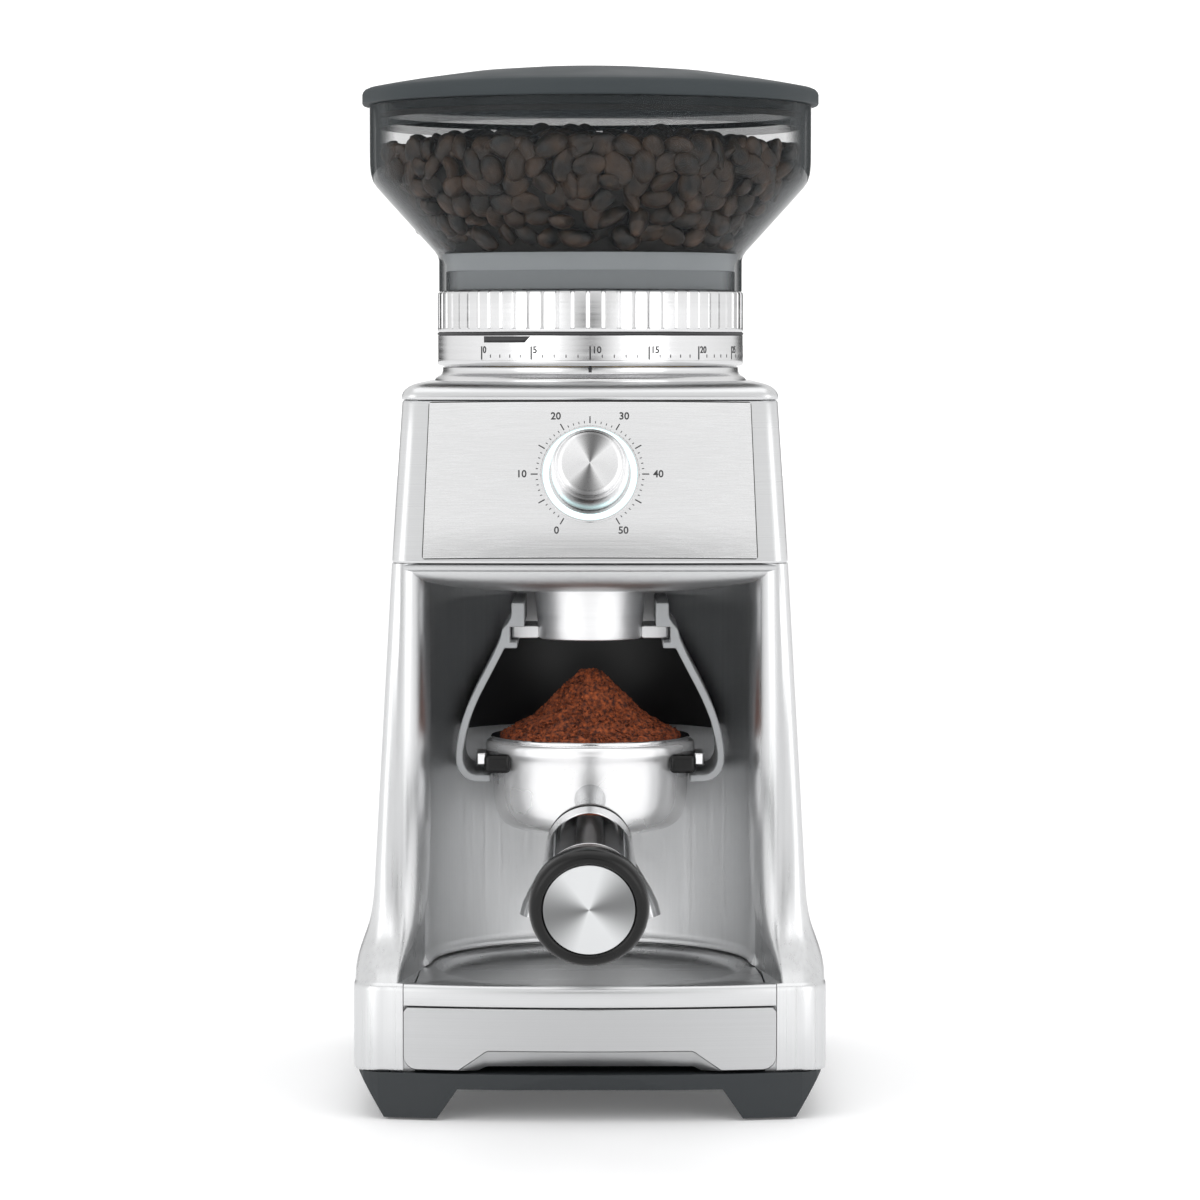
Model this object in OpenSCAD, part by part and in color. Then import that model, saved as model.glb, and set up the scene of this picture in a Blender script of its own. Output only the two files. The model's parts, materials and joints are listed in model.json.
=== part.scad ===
// Conical burr coffee grinder with a dosing timer, a clear bean hopper and a cradle
// that holds a portafilter under the outlet.
// Millimetres. X is to the right, Y runs back from the front, Z is up.
// The origin is on the floor, in the middle of the whole outline.

/* [Housing] */
// Width of the base
base_w = 160; // [158:1:166]
// Back face of the housing
back_y = 153; // [153:1:160]
// Front of the base, in the middle of its crown
base_front = -45; // [-47:1:-45]
// How far the middle of the base's front stands forward of its ends
crown = 6.5; // [5:0.5:7]
// Top face of the base and of the grinds tray
base_top = 46; // [46:0.5:47]
// Underside of the head
head_z = 187; // [187:0.5:188]
// Seam between the head and its top cover
cover_z = 242; // [242:0.5:243]
// Half width of the head at its seam with the top cover
head_top_half = 64; // [63:0.5:66]
// Wall thickness of the metal shells
wall = 2.5; // [2:0.1:2.6]
// Backward tilt of the control panel in degrees
panel_tilt = 14.5; // [14:0.5:15]

/* [Recess] */
// Radius of the round recess
recess_r = 56; // [55.5:0.5:56.5]
// Distance of the recess axis behind the origin
recess_y = 9; // [8.5:0.5:9.5]
// Ceiling of the recess
ceiling_z = 178.5; // [178:0.5:180]

/* [Hopper] */
// Outer radius of the hopper wall
hopper_r = 78.7; // [76:0.1:79]
// Outer radius of the lid
lid_r = 81.2; // [80.5:0.1:82]
// Top of the hopper wall
hopper_top = 345.4; // [344:0.2:348]
// Height of the beans at the middle
bean_top = 335; // [330:1:336]

/* [Grinding] */
// Outer radius of the grind collar
collar_r = 54.6; // [54:0.1:55]
// Grip flutes round the collar
flutes = 64; // [40:1:72]
// Teeth on the drive gear
gear_teeth = 56; // [52:4:56]
// Teeth on the motor pinion
pinion_teeth = 14; // [12:2:16]
// Clearance of a shaft in its bearing
running_fit = 0.05; // [0.02:0.01:0.08]

/* [Portafilter] */
// Radius of the portafilter rim
rim_r = 36; // [35.5:0.1:36.4]
// Downward slope of the handle in degrees
handle_slope = 8.7; // [8:0.1:9]
// Apex of the heap of ground coffee
heap_top = 148; // [140:1:149]

/* [Hidden] */
$fn = 96;
base_half = base_w / 2;
foot_top = 16;
pad_lift = 0.8;
arch_z = 10.8;
gap = 0.4;
grown = wall + 1.5;
liner_t = 1.5;
tray_r = 58.8;
tray_floor = 39.2;
plate_half = 62.7;
crown_r = pow(base_half - 10, 2) / (2 * crown);
plate_top = 38.4;

knob_z = 217;
knob_y = -17.5;
panel_t = 2.5;
plunger_r = 3.2;
knob_gap = 2.2;
light_r = 15.65;

outlet_y = 17;
rail_z = 159.2;
rail_top = 163.7;
rail_half = 27.2;

burr_y = 67;
gear_module = 1;
motor_y = burr_y + gear_module * (gear_teeth + pinion_teeth) / 2;
gear_r = gear_module * gear_teeth / 2;
pinion_r = gear_module * pinion_teeth / 2;
shaft_r = 4;
motor_shaft_r = 2.5;
bearing_r = 10;
case_z = 190;
case_top = 209;
chamber_r = 35;
bore_r = 31;
chamber_top = 242.6;
ring_burr_z = 226;
carrier_r = 30.7;
nut_r = 38;
neck_z = 248;
collar_z = 253.3;
groove_z = 264.8;
grip_top = 279.7;
throat_r = 22;
throat_z = 256;
floor_z = 293;
hopper_t = 2.2;

motor_r = 28;
motor_z = 92;
motor_top = 172;

ear_z = 113.6;
cup_top = 124.5;
handle_end_r = 18.9;
end_edge_r = 17.9;
handle_z = 85.6;
handle_y = -back_y + end_edge_r * sin(handle_slope);

steel = [0.78, 0.78, 0.79];
bright = [0.88, 0.88, 0.9];
dark_steel = [0.45, 0.46, 0.48];
slate = [0.27, 0.3, 0.32];
black = [0.07, 0.07, 0.08];
smoke = [0.45, 0.47, 0.49];
rubber = [0.12, 0.12, 0.12];
brass = [0.8, 0.65, 0.3];
board_green = [0.1, 0.35, 0.2];
plastic = [0.75, 0.75, 0.72];

// ---- Outlines and lofts ----

// Points along an arc
function arc(centre, r, from, to, steps) =
    [for (i = [0:steps]) centre + r * [cos(from + (to - from) * i / steps),
                                       sin(from + (to - from) * i / steps)]];

// Rounded rectangle seen from above, with its own front and back corner radii.
// The middle of its front edge is at front, and the ends stand back from it by bow.
function plan(half, front, back, r_front, r_back, bow) = concat(
    arc([-half + r_front, front + bow + r_front], r_front, 180, 270, 5),
    [for (i = [-3:3]) [i * (half - r_front) / 4, front + bow * i * i / 16]],
    arc([half - r_front, front + bow + r_front], r_front, 270, 360, 5),
    arc([half - r_back, back - r_back], r_back, 0, 90, 8),
    arc([-half + r_back, back - r_back], r_back, 90, 180, 8));

// U outline with a round back end
function u_plan(r, half_front, front, centre_y) =
    concat(arc([0, centre_y], r, 0, 180, 32), [[-half_front, front], [half_front, front]]);

// Skin through one plan outline for each level [z, half, front, back, r_front, r_back, bow]
module loft(levels) {
    rings = [for (v = levels) plan(v[1], v[2], v[3], v[4], v[5], v[6])];
    count = len(rings[0]);
    last = len(levels) - 1;
    points = [for (i = [0:last]) for (p = rings[i]) [p[0], p[1], levels[i][0]]];
    sides = [for (i = [0:last - 1]) for (j = [0:count - 1])
        [i * count + j, (i + 1) * count + j,
         (i + 1) * count + (j + 1) % count, i * count + (j + 1) % count]];
    bottom = [for (j = [0:count - 1]) j];
    top = [for (j = [0:count - 1]) last * count + count - 1 - j];
    polyhedron(points, concat(sides, [bottom, top]), convexity = 6);
}

// The same level moved inward by t, at a height of its own
function inset(v, t, z) = [z, v[1] - t, v[2] + t, v[3] - t, v[4] - t / 2, v[5] - t, v[6]];

// Front face of the tilted head at a height
function head_front(z) = knob_y + (z - knob_z) * tan(panel_tilt);

// Half width of the tilted head at a height
function head_half(z) = head_top_half + 3.1 * (cover_z - z) / (cover_z - head_z);

module at_burr(z = 0) { translate([0, burr_y, z]) children(); }
module at_motor(z = 0) { translate([0, motor_y, z]) children(); }
module at_outlet(z = 0) { translate([0, outlet_y, z]) children(); }
module mirrored() { children(); mirror([1, 0, 0]) children(); }

// Local frame on the panel face: the knob's axis is local Y, inward
module on_panel(depth = 0) {
    translate([0, knob_y, knob_z]) rotate([-panel_tilt, 0, 0]) translate([0, depth, 0]) children();
}

// Turns a shape that rises along Z so that it goes inward along local Y
module inward() { rotate([-90, 0, 0]) children(); }

// Local frame on the handle: Z runs from the handle's free end towards the cup
module on_handle(along = 0) {
    translate([0, handle_y, handle_z]) rotate([handle_slope - 90, 0, 0])
        translate([0, 0, along]) children();
}

// Tube standing on Z = 0
module tube(r_out, r_in, h) {
    difference() {
        cylinder(r = r_out, h = h);
        translate([0, 0, -1]) cylinder(r = r_in, h = h + 2);
    }
}

// Side outline, given as [y, z] points, extruded over X from -half to half
module side_prism(points, half) {
    translate([half, 0, 0]) rotate([0, -90, 0]) linear_extrude(2 * half)
        polygon([for (p = points) [p[1], p[0]]]);
}

// Front outline, given as [x, z] points, extruded from front to back
module front_prism(points, front, back) {
    translate([0, back, 0]) rotate([90, 0, 0]) linear_extrude(back - front) polygon(points);
}

// ---- Base ----

foot_spots = [[60.5, -24], [60.5, 131]];
screw_spots = [[66, 40], [66, 95]];

module base_plate() {
    front_outline = [
        [-78.5, foot_top], [-69.5, pad_lift], [-51.5, pad_lift], [-44.6, arch_z],
        [44.6, arch_z], [51.5, pad_lift], [69.5, pad_lift], [78.5, foot_top]];
    side_outline = [
        [base_front + 1.5, foot_top], [base_front + 5, pad_lift], [-8, pad_lift], [0, arch_z],
        [108, arch_z], [116, pad_lift], [back_y - 7, pad_lift], [back_y - 1.5, foot_top]];
    color(slate) difference() {
        intersection() {
            front_prism(front_outline, base_front - 5, back_y + 5);
            side_prism(side_outline, base_half + 5);
            linear_extrude(foot_top)
                polygon(plan(78.5, base_front + 1.5, back_y - 1.5, 10, 28, crown));
        }
        mirrored() for (s = foot_spots) translate([s[0], s[1], -1]) cylinder(r = 6, h = 3.5);
        mirrored() for (s = screw_spots) translate([s[0], s[1], 0]) {
            cylinder(r = 4, h = 13.5);
            cylinder(r = 1.6, h = foot_top + 1);
        }
    }
}

module rubber_feet() {
    color(rubber) mirrored() for (s = foot_spots) translate([s[0], s[1], 0]) cylinder(r = 6, h = 2.5);
}

module base_screws() {
    color(dark_steel) mirrored() for (s = screw_spots) translate([s[0], s[1], 11]) {
        cylinder(r = 3.6, h = 2.5);
        cylinder(r = 1.6, h = 15);
    }
}

// ---- Lower body ----

body_levels = [
    [foot_top, base_half - 1, base_front + 1, back_y - 1, 9, 28, crown],
    [foot_top + 2, base_half, base_front, back_y, 10, 28, crown],
    [base_top - 1, base_half, base_front, back_y, 10, 28, crown],
    [base_top, base_half, base_front + 1, back_y, 10, 28, crown],
    [50, base_half - 0.2, -40, back_y, 10, 28, 6],
    [55, base_half - 1.3, -36.5, back_y, 9, 28, 5.5],
    [60, base_half - 3.2, -33.5, back_y, 8, 28, 5],
    [65, base_half - 4.9, -31, back_y, 8, 28, 4],
    [72, base_half - 6.2, -27.5, back_y, 7, 28, 2],
    [110, base_half - 8.7, -24.5, back_y, 6, 28, 0.5],
    [head_z, head_half(head_z), head_front(head_z), back_y, 5, 28, 0]];

// Space that the shell goes round: the recess, and the pocket for the tray
module body_space(grow) {
    difference() {
        translate([0, 0, base_top - 6]) linear_extrude(ceiling_z + grow - base_top + 6)
            polygon(u_plan(recess_r + grow, 67.5 + grow, -60, recess_y));
        translate([0, 0, plate_top + 1]) cube([200, 200, 12 - grow * 2], center = true);
    }
    translate([0, 0, plate_top - grow]) linear_extrude(base_top - plate_top + 2 + 2 * grow)
        polygon(u_plan(tray_r + gap + grow, tray_r + gap + grow, base_front - 5, recess_y));
}

// Inside of the body's outer wall
module body_inside() {
    inner = [for (v = body_levels) inset(v, wall, v[0] - wall)];
    open_top = inset(body_levels[len(body_levels) - 1], wall, head_z + 5);
    loft(concat(inner, [open_top]));
}

// What the body shell and the recess tub are both cut by
module body_cuts() {
    body_space(0);
    // Seat of the recess liner
    intersection() {
        translate([0, 0, base_top]) linear_extrude(ceiling_z - base_top)
            polygon(u_plan(recess_r + liner_t, 67.5 + liner_t, -60, recess_y));
        translate([-100, -16, 0]) cube([200, 100, 200]);
    }
    // Seat of the front plate and of the tray's lip
    front_slab(plate_half + 0.3, foot_top + 1, 60, 2);
    front_slab(plate_half + 0.3, plate_top, 20, 4.5);
    front_prism([[-50, 0], [-35, 23.7], [35, 23.7], [50, 0]], base_front - 5, base_front + 9);
    at_outlet(ceiling_z - 5) cylinder(r = 21.3, h = 20);
}

module body_shell() {
    color(steel) difference() {
        union() {
            difference() {
                loft(body_levels);
                body_inside();
            }
            mirrored() for (s = screw_spots) translate([s[0], s[1], foot_top]) {
                cylinder(r = 5, h = 14);
                translate([0, -1, 0]) cube([11.9, 2, 14]);
            }
        }
        body_cuts();
        // Rear opening, cord gland and screws
        translate([-36.8, back_y - 6, 40]) cube([73.6, 12, 130]);
        translate([0, back_y - 10, 28]) inward() cylinder(r = 8, h = 20);
        mirrored() for (s = screw_spots) translate([s[0], s[1], 0]) cylinder(r = 1.6, h = 26);
    }
}

// Inner moulding of the body: the walls of the recess, its ceiling, and the pocket for the tray
module recess_tub() {
    color(steel) difference() {
        intersection() {
            body_inside();
            body_space(grown);
        }
        body_cuts();
    }
}

// Slab behind the crowned front: half wide, from z up by h, and t thick or t deep
module front_slab(half, z, h, t) {
    intersection() {
        translate([-half, base_front - 1, z]) cube([2 * half, 20, h]);
        translate([0, base_front + crown_r, z - 1]) tube(crown_r + 1, crown_r - t, h + 2, $fn = 360);
    }
}

// Brushed sheet that lines the recess
module recess_liner() {
    color(bright) translate([0, 0, base_top + 0.2]) linear_extrude(ceiling_z - base_top - 0.4)
        difference() {
            polygon(u_plan(recess_r + liner_t, 67.5 + liner_t, -60, recess_y));
            polygon(u_plan(recess_r, 67.5, -60, recess_y));
            translate([-100, -115.8]) square([200, 100]);
        }
}

// Plate that follows the crown of the front
module crowned_plate(half, z, h, t) {
    intersection() {
        translate([-half, base_front - 1, z]) cube([2 * half, 20, h]);
        translate([0, base_front + crown_r, z - 1]) tube(crown_r, crown_r - t, h + 2, $fn = 360);
    }
}

module front_plate() {
    notch = [[-43.5, 0], [-43.5, foot_top + 2], [-35, 23.7], [35, 23.7], [43.5, foot_top + 2], [43.5, 0]];
    color(steel) difference() {
        crowned_plate(plate_half, foot_top + 1, plate_top - foot_top - 1.2, 2);
        front_prism(notch, base_front - 5, base_front + 5);
    }
}

module rear_cover() {
    color(slate) difference() {
        union() {
            translate([-36.5, back_y - wall, 40.3]) cube([73, wall, 129.4]);
            translate([-39, back_y - wall - 2, 37]) cube([78, 2, 136]);
        }
        for (i = [0:7]) translate([-24, back_y - 10, 118 + i * 5.5]) cube([48, 20, 2.5]);
    }
}

module cord_gland() {
    color(rubber) translate([0, back_y - 6, 28]) inward() tube(8, 3.8, 6);
}

// ---- Head ----

head_levels = [
    [head_z, head_half(head_z), head_front(head_z), back_y, 5, 28, 0],
    [cover_z, head_half(cover_z), head_front(cover_z), back_y - 3, 5, 28, 0]];

// Panel outline in its own plane; up is measured along the slope from the knob
module panel_outline(grow) {
    low = (head_z + 2 - knob_z) / cos(panel_tilt);
    high = (cover_z - 0.6 - knob_z) / cos(panel_tilt);
    polygon([[-56.5 - grow, low - grow], [56.5 + grow, low - grow],
             [54.6 + grow, high + grow], [-54.6 - grow, high + grow]]);
}

module head_shell() {
    color(steel) difference() {
        loft(head_levels);
        loft([inset(head_levels[0], wall, head_z - 1), inset(head_levels[1], wall, cover_z + 1)]);
        on_panel(5) rotate([90, 0, 0]) linear_extrude(10) panel_outline(0.3);
    }
}

standoffs = [[34, -16], [34, 14]];
board_depth = 12;

module control_panel() {
    color(bright) difference() {
        union() {
            on_panel(panel_t) rotate([90, 0, 0]) linear_extrude(panel_t) panel_outline(0);
            mirrored() for (s = standoffs) on_panel(panel_t) translate([s[0], 0, s[1]])
                inward() cylinder(r = 3, h = board_depth - panel_t);
        }
        on_panel(-1) inward() cylinder(r = 5, h = 10);
    }
}

module light_ring() {
    color([0.8, 1, 1]) on_panel(-1.5) inward() tube(light_r, 14, 1.5);
}

module top_cover() {
    half = head_half(cover_z);
    front = head_front(cover_z);
    rear = back_y - 3;
    color(steel) difference() {
        loft([[cover_z, half + 0.3, front - 0.5, rear, 5, 28, 0],
              [cover_z + 3, half + 0.3, front - 0.5, rear, 5, 28, 0],
              [cover_z + 5, half - 0.3, front + 0.2, rear - 0.7, 5, 28, 0],
              [neck_z, half - 1.8, front + 1.8, rear - 2.2, 5, 27, 0]]);
        loft([[cover_z - 1, half - wall, front + wall, rear - wall, 4, 25, 0],
              [neck_z - wall, half - wall, front + wall, rear - wall, 4, 25, 0]]);
        at_burr(cover_z) cylinder(r = 46, h = 20);
    }
}

// Fixed ring that guides the adjuster nut and carries the index mark
module neck_ring() {
    bearing_in = nut_r + running_fit;
    color(bright) at_burr() rotate_extrude() polygon([
        [bearing_in, cover_z + 2], [46, cover_z + 2], [46, neck_z], [55.6, neck_z],
        [53.8, neck_z + 1.5], [52.8, neck_z + 3.2], [52.8, collar_z - 0.3],
        [bearing_in, collar_z - 0.3]]);
}

// ---- Outlet ----

module outlet_chute() {
    back_wall = burr_y - chamber_r + 6;
    outer = [[back_wall, 226], [back_wall, 210], [31, 210], [31, head_z], [-2, head_z], [-2, 194], [14, 226]];
    inner = [[back_wall + 1, 224], [back_wall + 1, 212], [29, 208], [29, head_z - 1], [0, head_z - 1],
             [0, 193.4], [15, 224]];
    color(bright) difference() {
        union() {
            side_prism(outer, 14);
            at_outlet() {
                translate([0, 0, rail_z]) cylinder(r = 18.2, h = 5);
                translate([0, 0, rail_top]) cylinder(r1 = 18.2, r2 = 21, h = 177 - rail_top);
                translate([0, 0, 177]) cylinder(r = 21, h = 7);
                translate([0, 0, ceiling_z + grown]) cylinder(r = 24, h = head_z - ceiling_z - grown);
            }
        }
        side_prism(inner, 12);
        at_outlet(rail_z - 1) cylinder(r = 15, h = 28.2);
        at_burr(205) cylinder(r = chamber_r, h = 30);
    }
}

module cradle_rail() {
    color(bright) difference() {
        translate([-rail_half, 13, rail_z]) cube([2 * rail_half, 25, rail_top - rail_z]);
        at_outlet(rail_z - 1) cylinder(r = 18.2, h = 10);
    }
}

// ---- Drive train, fixed pieces ----

damper_spots = [[30, 46], [44, 122]];
bracket_spots = [[28, 80], [28, 124]];

module chassis() {
    color(dark_steel) {
        translate([-50, 76, foot_top]) cube([100, 56, 2.5]);
        mirrored() translate([44, 122, foot_top]) cylinder(r = 5, h = ceiling_z + grown - foot_top);
    }
}

module vibration_dampers() {
    lift = ceiling_z + grown;
    color(rubber) mirrored() for (s = damper_spots) translate([s[0], s[1], lift]) cylinder(r = 5, h = head_z - lift);
}

// Plan of the gear space: a circle round each gear
module gear_space(grow) {
    translate([0, burr_y]) circle(r = gear_r + 2 + grow);
    translate([0, motor_y]) circle(r = pinion_r + 3.5 + grow);
}

module gearbox_case() {
    color(dark_steel) difference() {
        union() {
            translate([-50, 40, head_z]) cube([100, 90, case_z - head_z]);
            translate([0, 0, case_z]) linear_extrude(case_top - case_z) gear_space(2.5);
        }
        translate([0, 0, case_z]) linear_extrude(14) gear_space(0);
        at_burr(head_z - 1) cylinder(r = bearing_r, h = 50);
        at_motor(head_z - 1) cylinder(r = 5, h = 10);
    }
}

module gearbox_screws() {
    color(steel) mirrored() for (s = [[39, 80], [28, 124]]) translate([s[0], s[1], case_z])
        cylinder(r = 3.4, h = 2);
}

module shaft_bearings() {
    color(steel) at_burr() for (z = [head_z, case_z + 14]) translate([0, 0, z])
        tube(bearing_r, shaft_r + running_fit, 5);
}

module grind_chamber() {
    color(plastic) at_burr() difference() {
        translate([0, 0, case_top]) cylinder(r = chamber_r, h = chamber_top - case_top);
        translate([0, 0, case_top + 3.5]) cylinder(r = bore_r, h = 50);
        translate([0, 0, case_top - 1]) cylinder(r = shaft_r + 0.3, h = 10);
        translate([-12, -chamber_r - 5, case_top + 3.5]) cube([24, 15, 11]);
        // Key slots that stop the carrier turning
        translate([-33.4, -3.3, ring_burr_z - 2]) cube([66.8, 6.6, 30]);
    }
}

module motor_bracket() {
    color(dark_steel) difference() {
        union() {
            translate([-34, 74, motor_top]) cube([68, 56, 3]);
            mirrored() for (s = bracket_spots) translate([s[0], s[1], motor_top])
                cylinder(r = 3.5, h = head_z - motor_top);
        }
        at_motor(motor_top - 1) cylinder(r = 7, h = 10);
    }
}

module motor_can() {
    color(dark_steel) at_motor(motor_z) difference() {
        cylinder(r = motor_r, h = motor_top - motor_z);
        translate([0, 0, 4]) cylinder(r = motor_r - 2.5, h = motor_top - motor_z - 8);
        translate([0, 0, -1]) cylinder(r = 6.5, h = 100);
    }
}

module motor_magnets() {
    color(black) at_motor(motor_z + 14) difference() {
        tube(motor_r - 2.5, 22.6, 52);
        for (a = [0, 90]) rotate(a) translate([-30, -3, -1]) cube([60, 6, 60]);
    }
}

module motor_bearings() {
    color(steel) at_motor() for (z = [motor_z, motor_top - 4]) translate([0, 0, z])
        tube(6.5, motor_shaft_r + running_fit, 4);
}

// ---- Electrics ----

module control_board() {
    color(board_green) on_panel(board_depth) {
        translate([-38, 0, -20]) cube([76, 1.6, 38]);
        for (x = [-26, -14, 18]) translate([x, 1.6, -12]) cube([8, 3, 8]);
    }
}

module rotary_encoder() {
    color(plastic) on_panel(4.6) difference() {
        translate([-6.5, 0, -6.5]) cube([13, board_depth - 4.6, 13]);
        translate([0, -1, 0]) inward() cylinder(r = plunger_r + running_fit, h = 20);
    }
}

module start_switch() {
    color(black) on_panel(board_depth - 1.5) inward() cylinder(r = 2.5, h = 1.5);
}

module power_board() {
    board_y = 140;
    color(board_green) {
        translate([-34, board_y, 60]) cube([68, 1.6, 50]);
        mirrored() for (z = [66, 104]) translate([30, board_y + 1.6, z]) inward()
            cylinder(r = 2.5, h = back_y - wall - 2 - board_y - 1.6);
        for (x = [-22, -8, 8]) translate([x, board_y - 8, 84]) inward() cylinder(r = 5, h = 8);
        translate([10, board_y - 7, 66]) cube([16, 7, 12]);
    }
}

// ---- Grind collar ----

module scale_ring() {
    color(bright) at_burr() rotate_extrude() polygon([
        [nut_r, collar_z], [collar_r - 0.5, collar_z], [collar_r, collar_z + 0.6],
        [collar_r, groove_z], [50.5, groove_z], [50.5, collar_z + 3.7], [nut_r, collar_z + 3.7]]);
}

module grip_ring() {
    height = grip_top - groove_z;
    color(steel) at_burr(groove_z) difference() {
        tube(collar_r, 50.5, height);
        for (i = [0:flutes - 1]) rotate(i * 360 / flutes) translate([collar_r + 0.5, 0, 1])
            cylinder(r = 1.1, h = height, $fn = 16);
    }
}

module adjuster_nut() {
    color(brass) at_burr(chamber_top + 0.6) tube(nut_r, bore_r, collar_z + 3.7 - chamber_top - 0.6);
}

// ---- Burrs ----

module burr_carrier() {
    key_z = ring_burr_z + 3;
    color(dark_steel) at_burr() difference() {
        union() {
            translate([0, 0, ring_burr_z - 2]) cylinder(r = carrier_r, h = 29);
            translate([-33, -3, key_z]) cube([66, 6, 8]);
        }
        translate([0, 0, ring_burr_z - 3]) cylinder(r = 25, h = 17);
        translate([0, 0, ring_burr_z]) cylinder(r = 21.5, h = 40);
    }
}

// Seen from above: teeth of a burr cut as slots round its axis
module burr_slots(count, r, width) {
    for (i = [0:count - 1]) rotate(i * 360 / count) translate([r, -width / 2, 0]) rotate(8)
        cube([8, width, 40]);
}

module ring_burr() {
    color(steel) at_burr(ring_burr_z) difference() {
        cylinder(r = 25, h = 14);
        translate([0, 0, -1]) cylinder(r1 = 18.9, r2 = 20.5, h = 16);
        translate([0, 0, -1]) burr_slots(18, 16, 1.6);
    }
}

module cone_burr() {
    cone_z = ring_burr_z - 4;
    color(steel) at_burr() difference() {
        union() {
            translate([0, 0, cone_z - 5]) cylinder(r = 12, h = 5);
            translate([0, 0, cone_z]) cylinder(r1 = 20, r2 = 12.5, h = 20);
            translate([0, 0, cone_z + 20]) cylinder(r = 9, h = 3);
        }
        translate([0, 0, cone_z - 6]) cylinder(r = shaft_r, h = 40);
        for (i = [0:7]) rotate(i * 45) translate([13.5, -2, cone_z + 6]) rotate([0, -20, 12]) cube([10, 4, 30]);
    }
}

module impeller() {
    color(plastic) at_burr(case_top + 4.5) {
        difference() {
            cylinder(r = 28, h = 3.5);
            translate([0, 0, -1]) cylinder(r = shaft_r, h = 10);
        }
        for (i = [0:5]) rotate(i * 60) translate([21.5, -1.5, 0]) cube([8, 3, 6.5]);
    }
}

module burr_shaft() {
    color(steel) at_burr(head_z + 0.5) cylinder(r = shaft_r, h = ring_burr_z + 19 - head_z);
}

module burr_bolt() {
    color(dark_steel) at_burr(ring_burr_z + 19.5) difference() {
        cylinder(r = 7, h = 4);
        translate([0, 0, 1.5]) cylinder(r = 3, h = 5, $fn = 6);
    }
}

// Outline of a straight-flanked gear; thickness is the tooth's width on the pitch circle
function gear_outline(teeth, thickness) =
    let (pitch_r = gear_module * teeth / 2,
         root = pitch_r - 1.15 * gear_module,
         tip = pitch_r + 0.85 * gear_module,
         tooth = [[root, -thickness * 0.62], [pitch_r, -thickness / 2], [tip, -thickness * 0.28],
                  [tip, thickness * 0.28], [pitch_r, thickness / 2], [root, thickness * 0.62]])
    [for (i = [0:teeth - 1]) let (a = i * 360 / teeth) for (p = tooth)
        [p[0] * cos(a) - p[1] * sin(a), p[0] * sin(a) + p[1] * cos(a)]];

module spur_gear(teeth, bore, h, thickness) {
    difference() {
        linear_extrude(h) polygon(gear_outline(teeth, thickness));
        translate([0, 0, -1]) cylinder(r = bore, h = h + 2);
    }
}

module drive_gear() {
    color(plastic) at_burr(case_z + 4.5) spur_gear(gear_teeth, shaft_r, 7, 1.25);
}

module motor_pinion() {
    // A gap of the pinion faces the tooth of the drive gear on the line of centres
    line_angle = 270 + 180 / pinion_teeth;
    color(brass) at_motor(case_z + 4) rotate(line_angle) spur_gear(pinion_teeth, motor_shaft_r, 8, 1.2);
}

module motor_rotor() {
    color(dark_steel) at_motor() {
        translate([0, 0, motor_z - 6]) cylinder(r = motor_shaft_r, h = case_z + 13 - motor_z + 6);
        translate([0, 0, motor_z + 18]) difference() {
            cylinder(r = 22, h = 44);
            for (i = [0:7]) rotate(i * 45) translate([9, -1.5, -1]) cube([10, 3, 50]);
            translate([0, 0, -1]) cylinder(r = motor_shaft_r - 0.3, h = 50);
        }
        translate([0, 0, motor_z + 7]) tube(8, motor_shaft_r - 0.3, 8);
    }
}

// ---- Hopper ----

hopper_outer = [
    [54.1, grip_top], [54.1, 290], [55.3, 292], [59.3, 297], [63.8, 302], [68.6, 307],
    [73.1, 312], [76.9, 317], [78.2, 322], [hopper_r, 327], [hopper_r, hopper_top]];

module hopper() {
    count = len(hopper_outer);
    wall_in = [for (i = [count - 1:-1:4]) hopper_outer[i] + [-hopper_t, i == count - 1 ? 0 : 0.6]];
    color([smoke[0], smoke[1], smoke[2], 0.4]) at_burr() rotate_extrude() polygon(concat(
        hopper_outer, wall_in,
        [[56.4, 296.8], [52.6, floor_z], [throat_r + 3, floor_z], [throat_r, floor_z - 3], [throat_r, throat_z],
         [throat_r + 2.5, throat_z], [throat_r + 2.5, floor_z - 3], [51.6, floor_z - 3], [51.6, grip_top]]));
}

// The bean fill as one closed shape
module coffee_beans() {
    lift = 0.6;
    inner_r = hopper_r - hopper_t - 0.7;
    color([0.15, 0.09, 0.06]) at_burr() rotate_extrude() polygon([
        [0, floor_z + lift], [51.5, floor_z + lift], [55.6, 297.6], [60.8, 303], [65.6, 308], [70, 313], [73.6, 318],
        [inner_r - 0.7, 323], [inner_r, 328], [inner_r - 4, bean_top - 5], [40, bean_top - 1], [0, bean_top]]);
}

module hopper_lid() {
    skirt_r = 75.3;
    rim = hopper_top;
    color([0.35, 0.37, 0.39]) at_burr() rotate_extrude() polygon([
        [0, rim + 11], [27.3, rim + 10.7], [44.2, rim + 9.4], [64.2, rim + 6.6],
        [71, rim + 2.6], [skirt_r - 2, rim + 2.2], [skirt_r - 2, rim - 8], [skirt_r, rim - 8], [skirt_r, rim],
        [lid_r - 0.4, rim], [lid_r, rim + 0.4], [lid_r, rim + 4.6], [lid_r - 0.6, rim + 5.1],
        [79, rim + 5.7], [72.4, rim + 7.2], [64.2, rim + 8.6], [54.8, rim + 10], [44.2, rim + 11.5],
        [27.3, rim + 12.9], [0, rim + 13.2]]);
}

module lid_seal() {
    color(rubber) at_burr(hopper_top - 5) tube(76, 75.3, 2);
}

// ---- Timer knob ----

module knob_plunger() {
    color(steel) on_panel(-11) inward() cylinder(r = plunger_r, h = 19.4);
}

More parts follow.
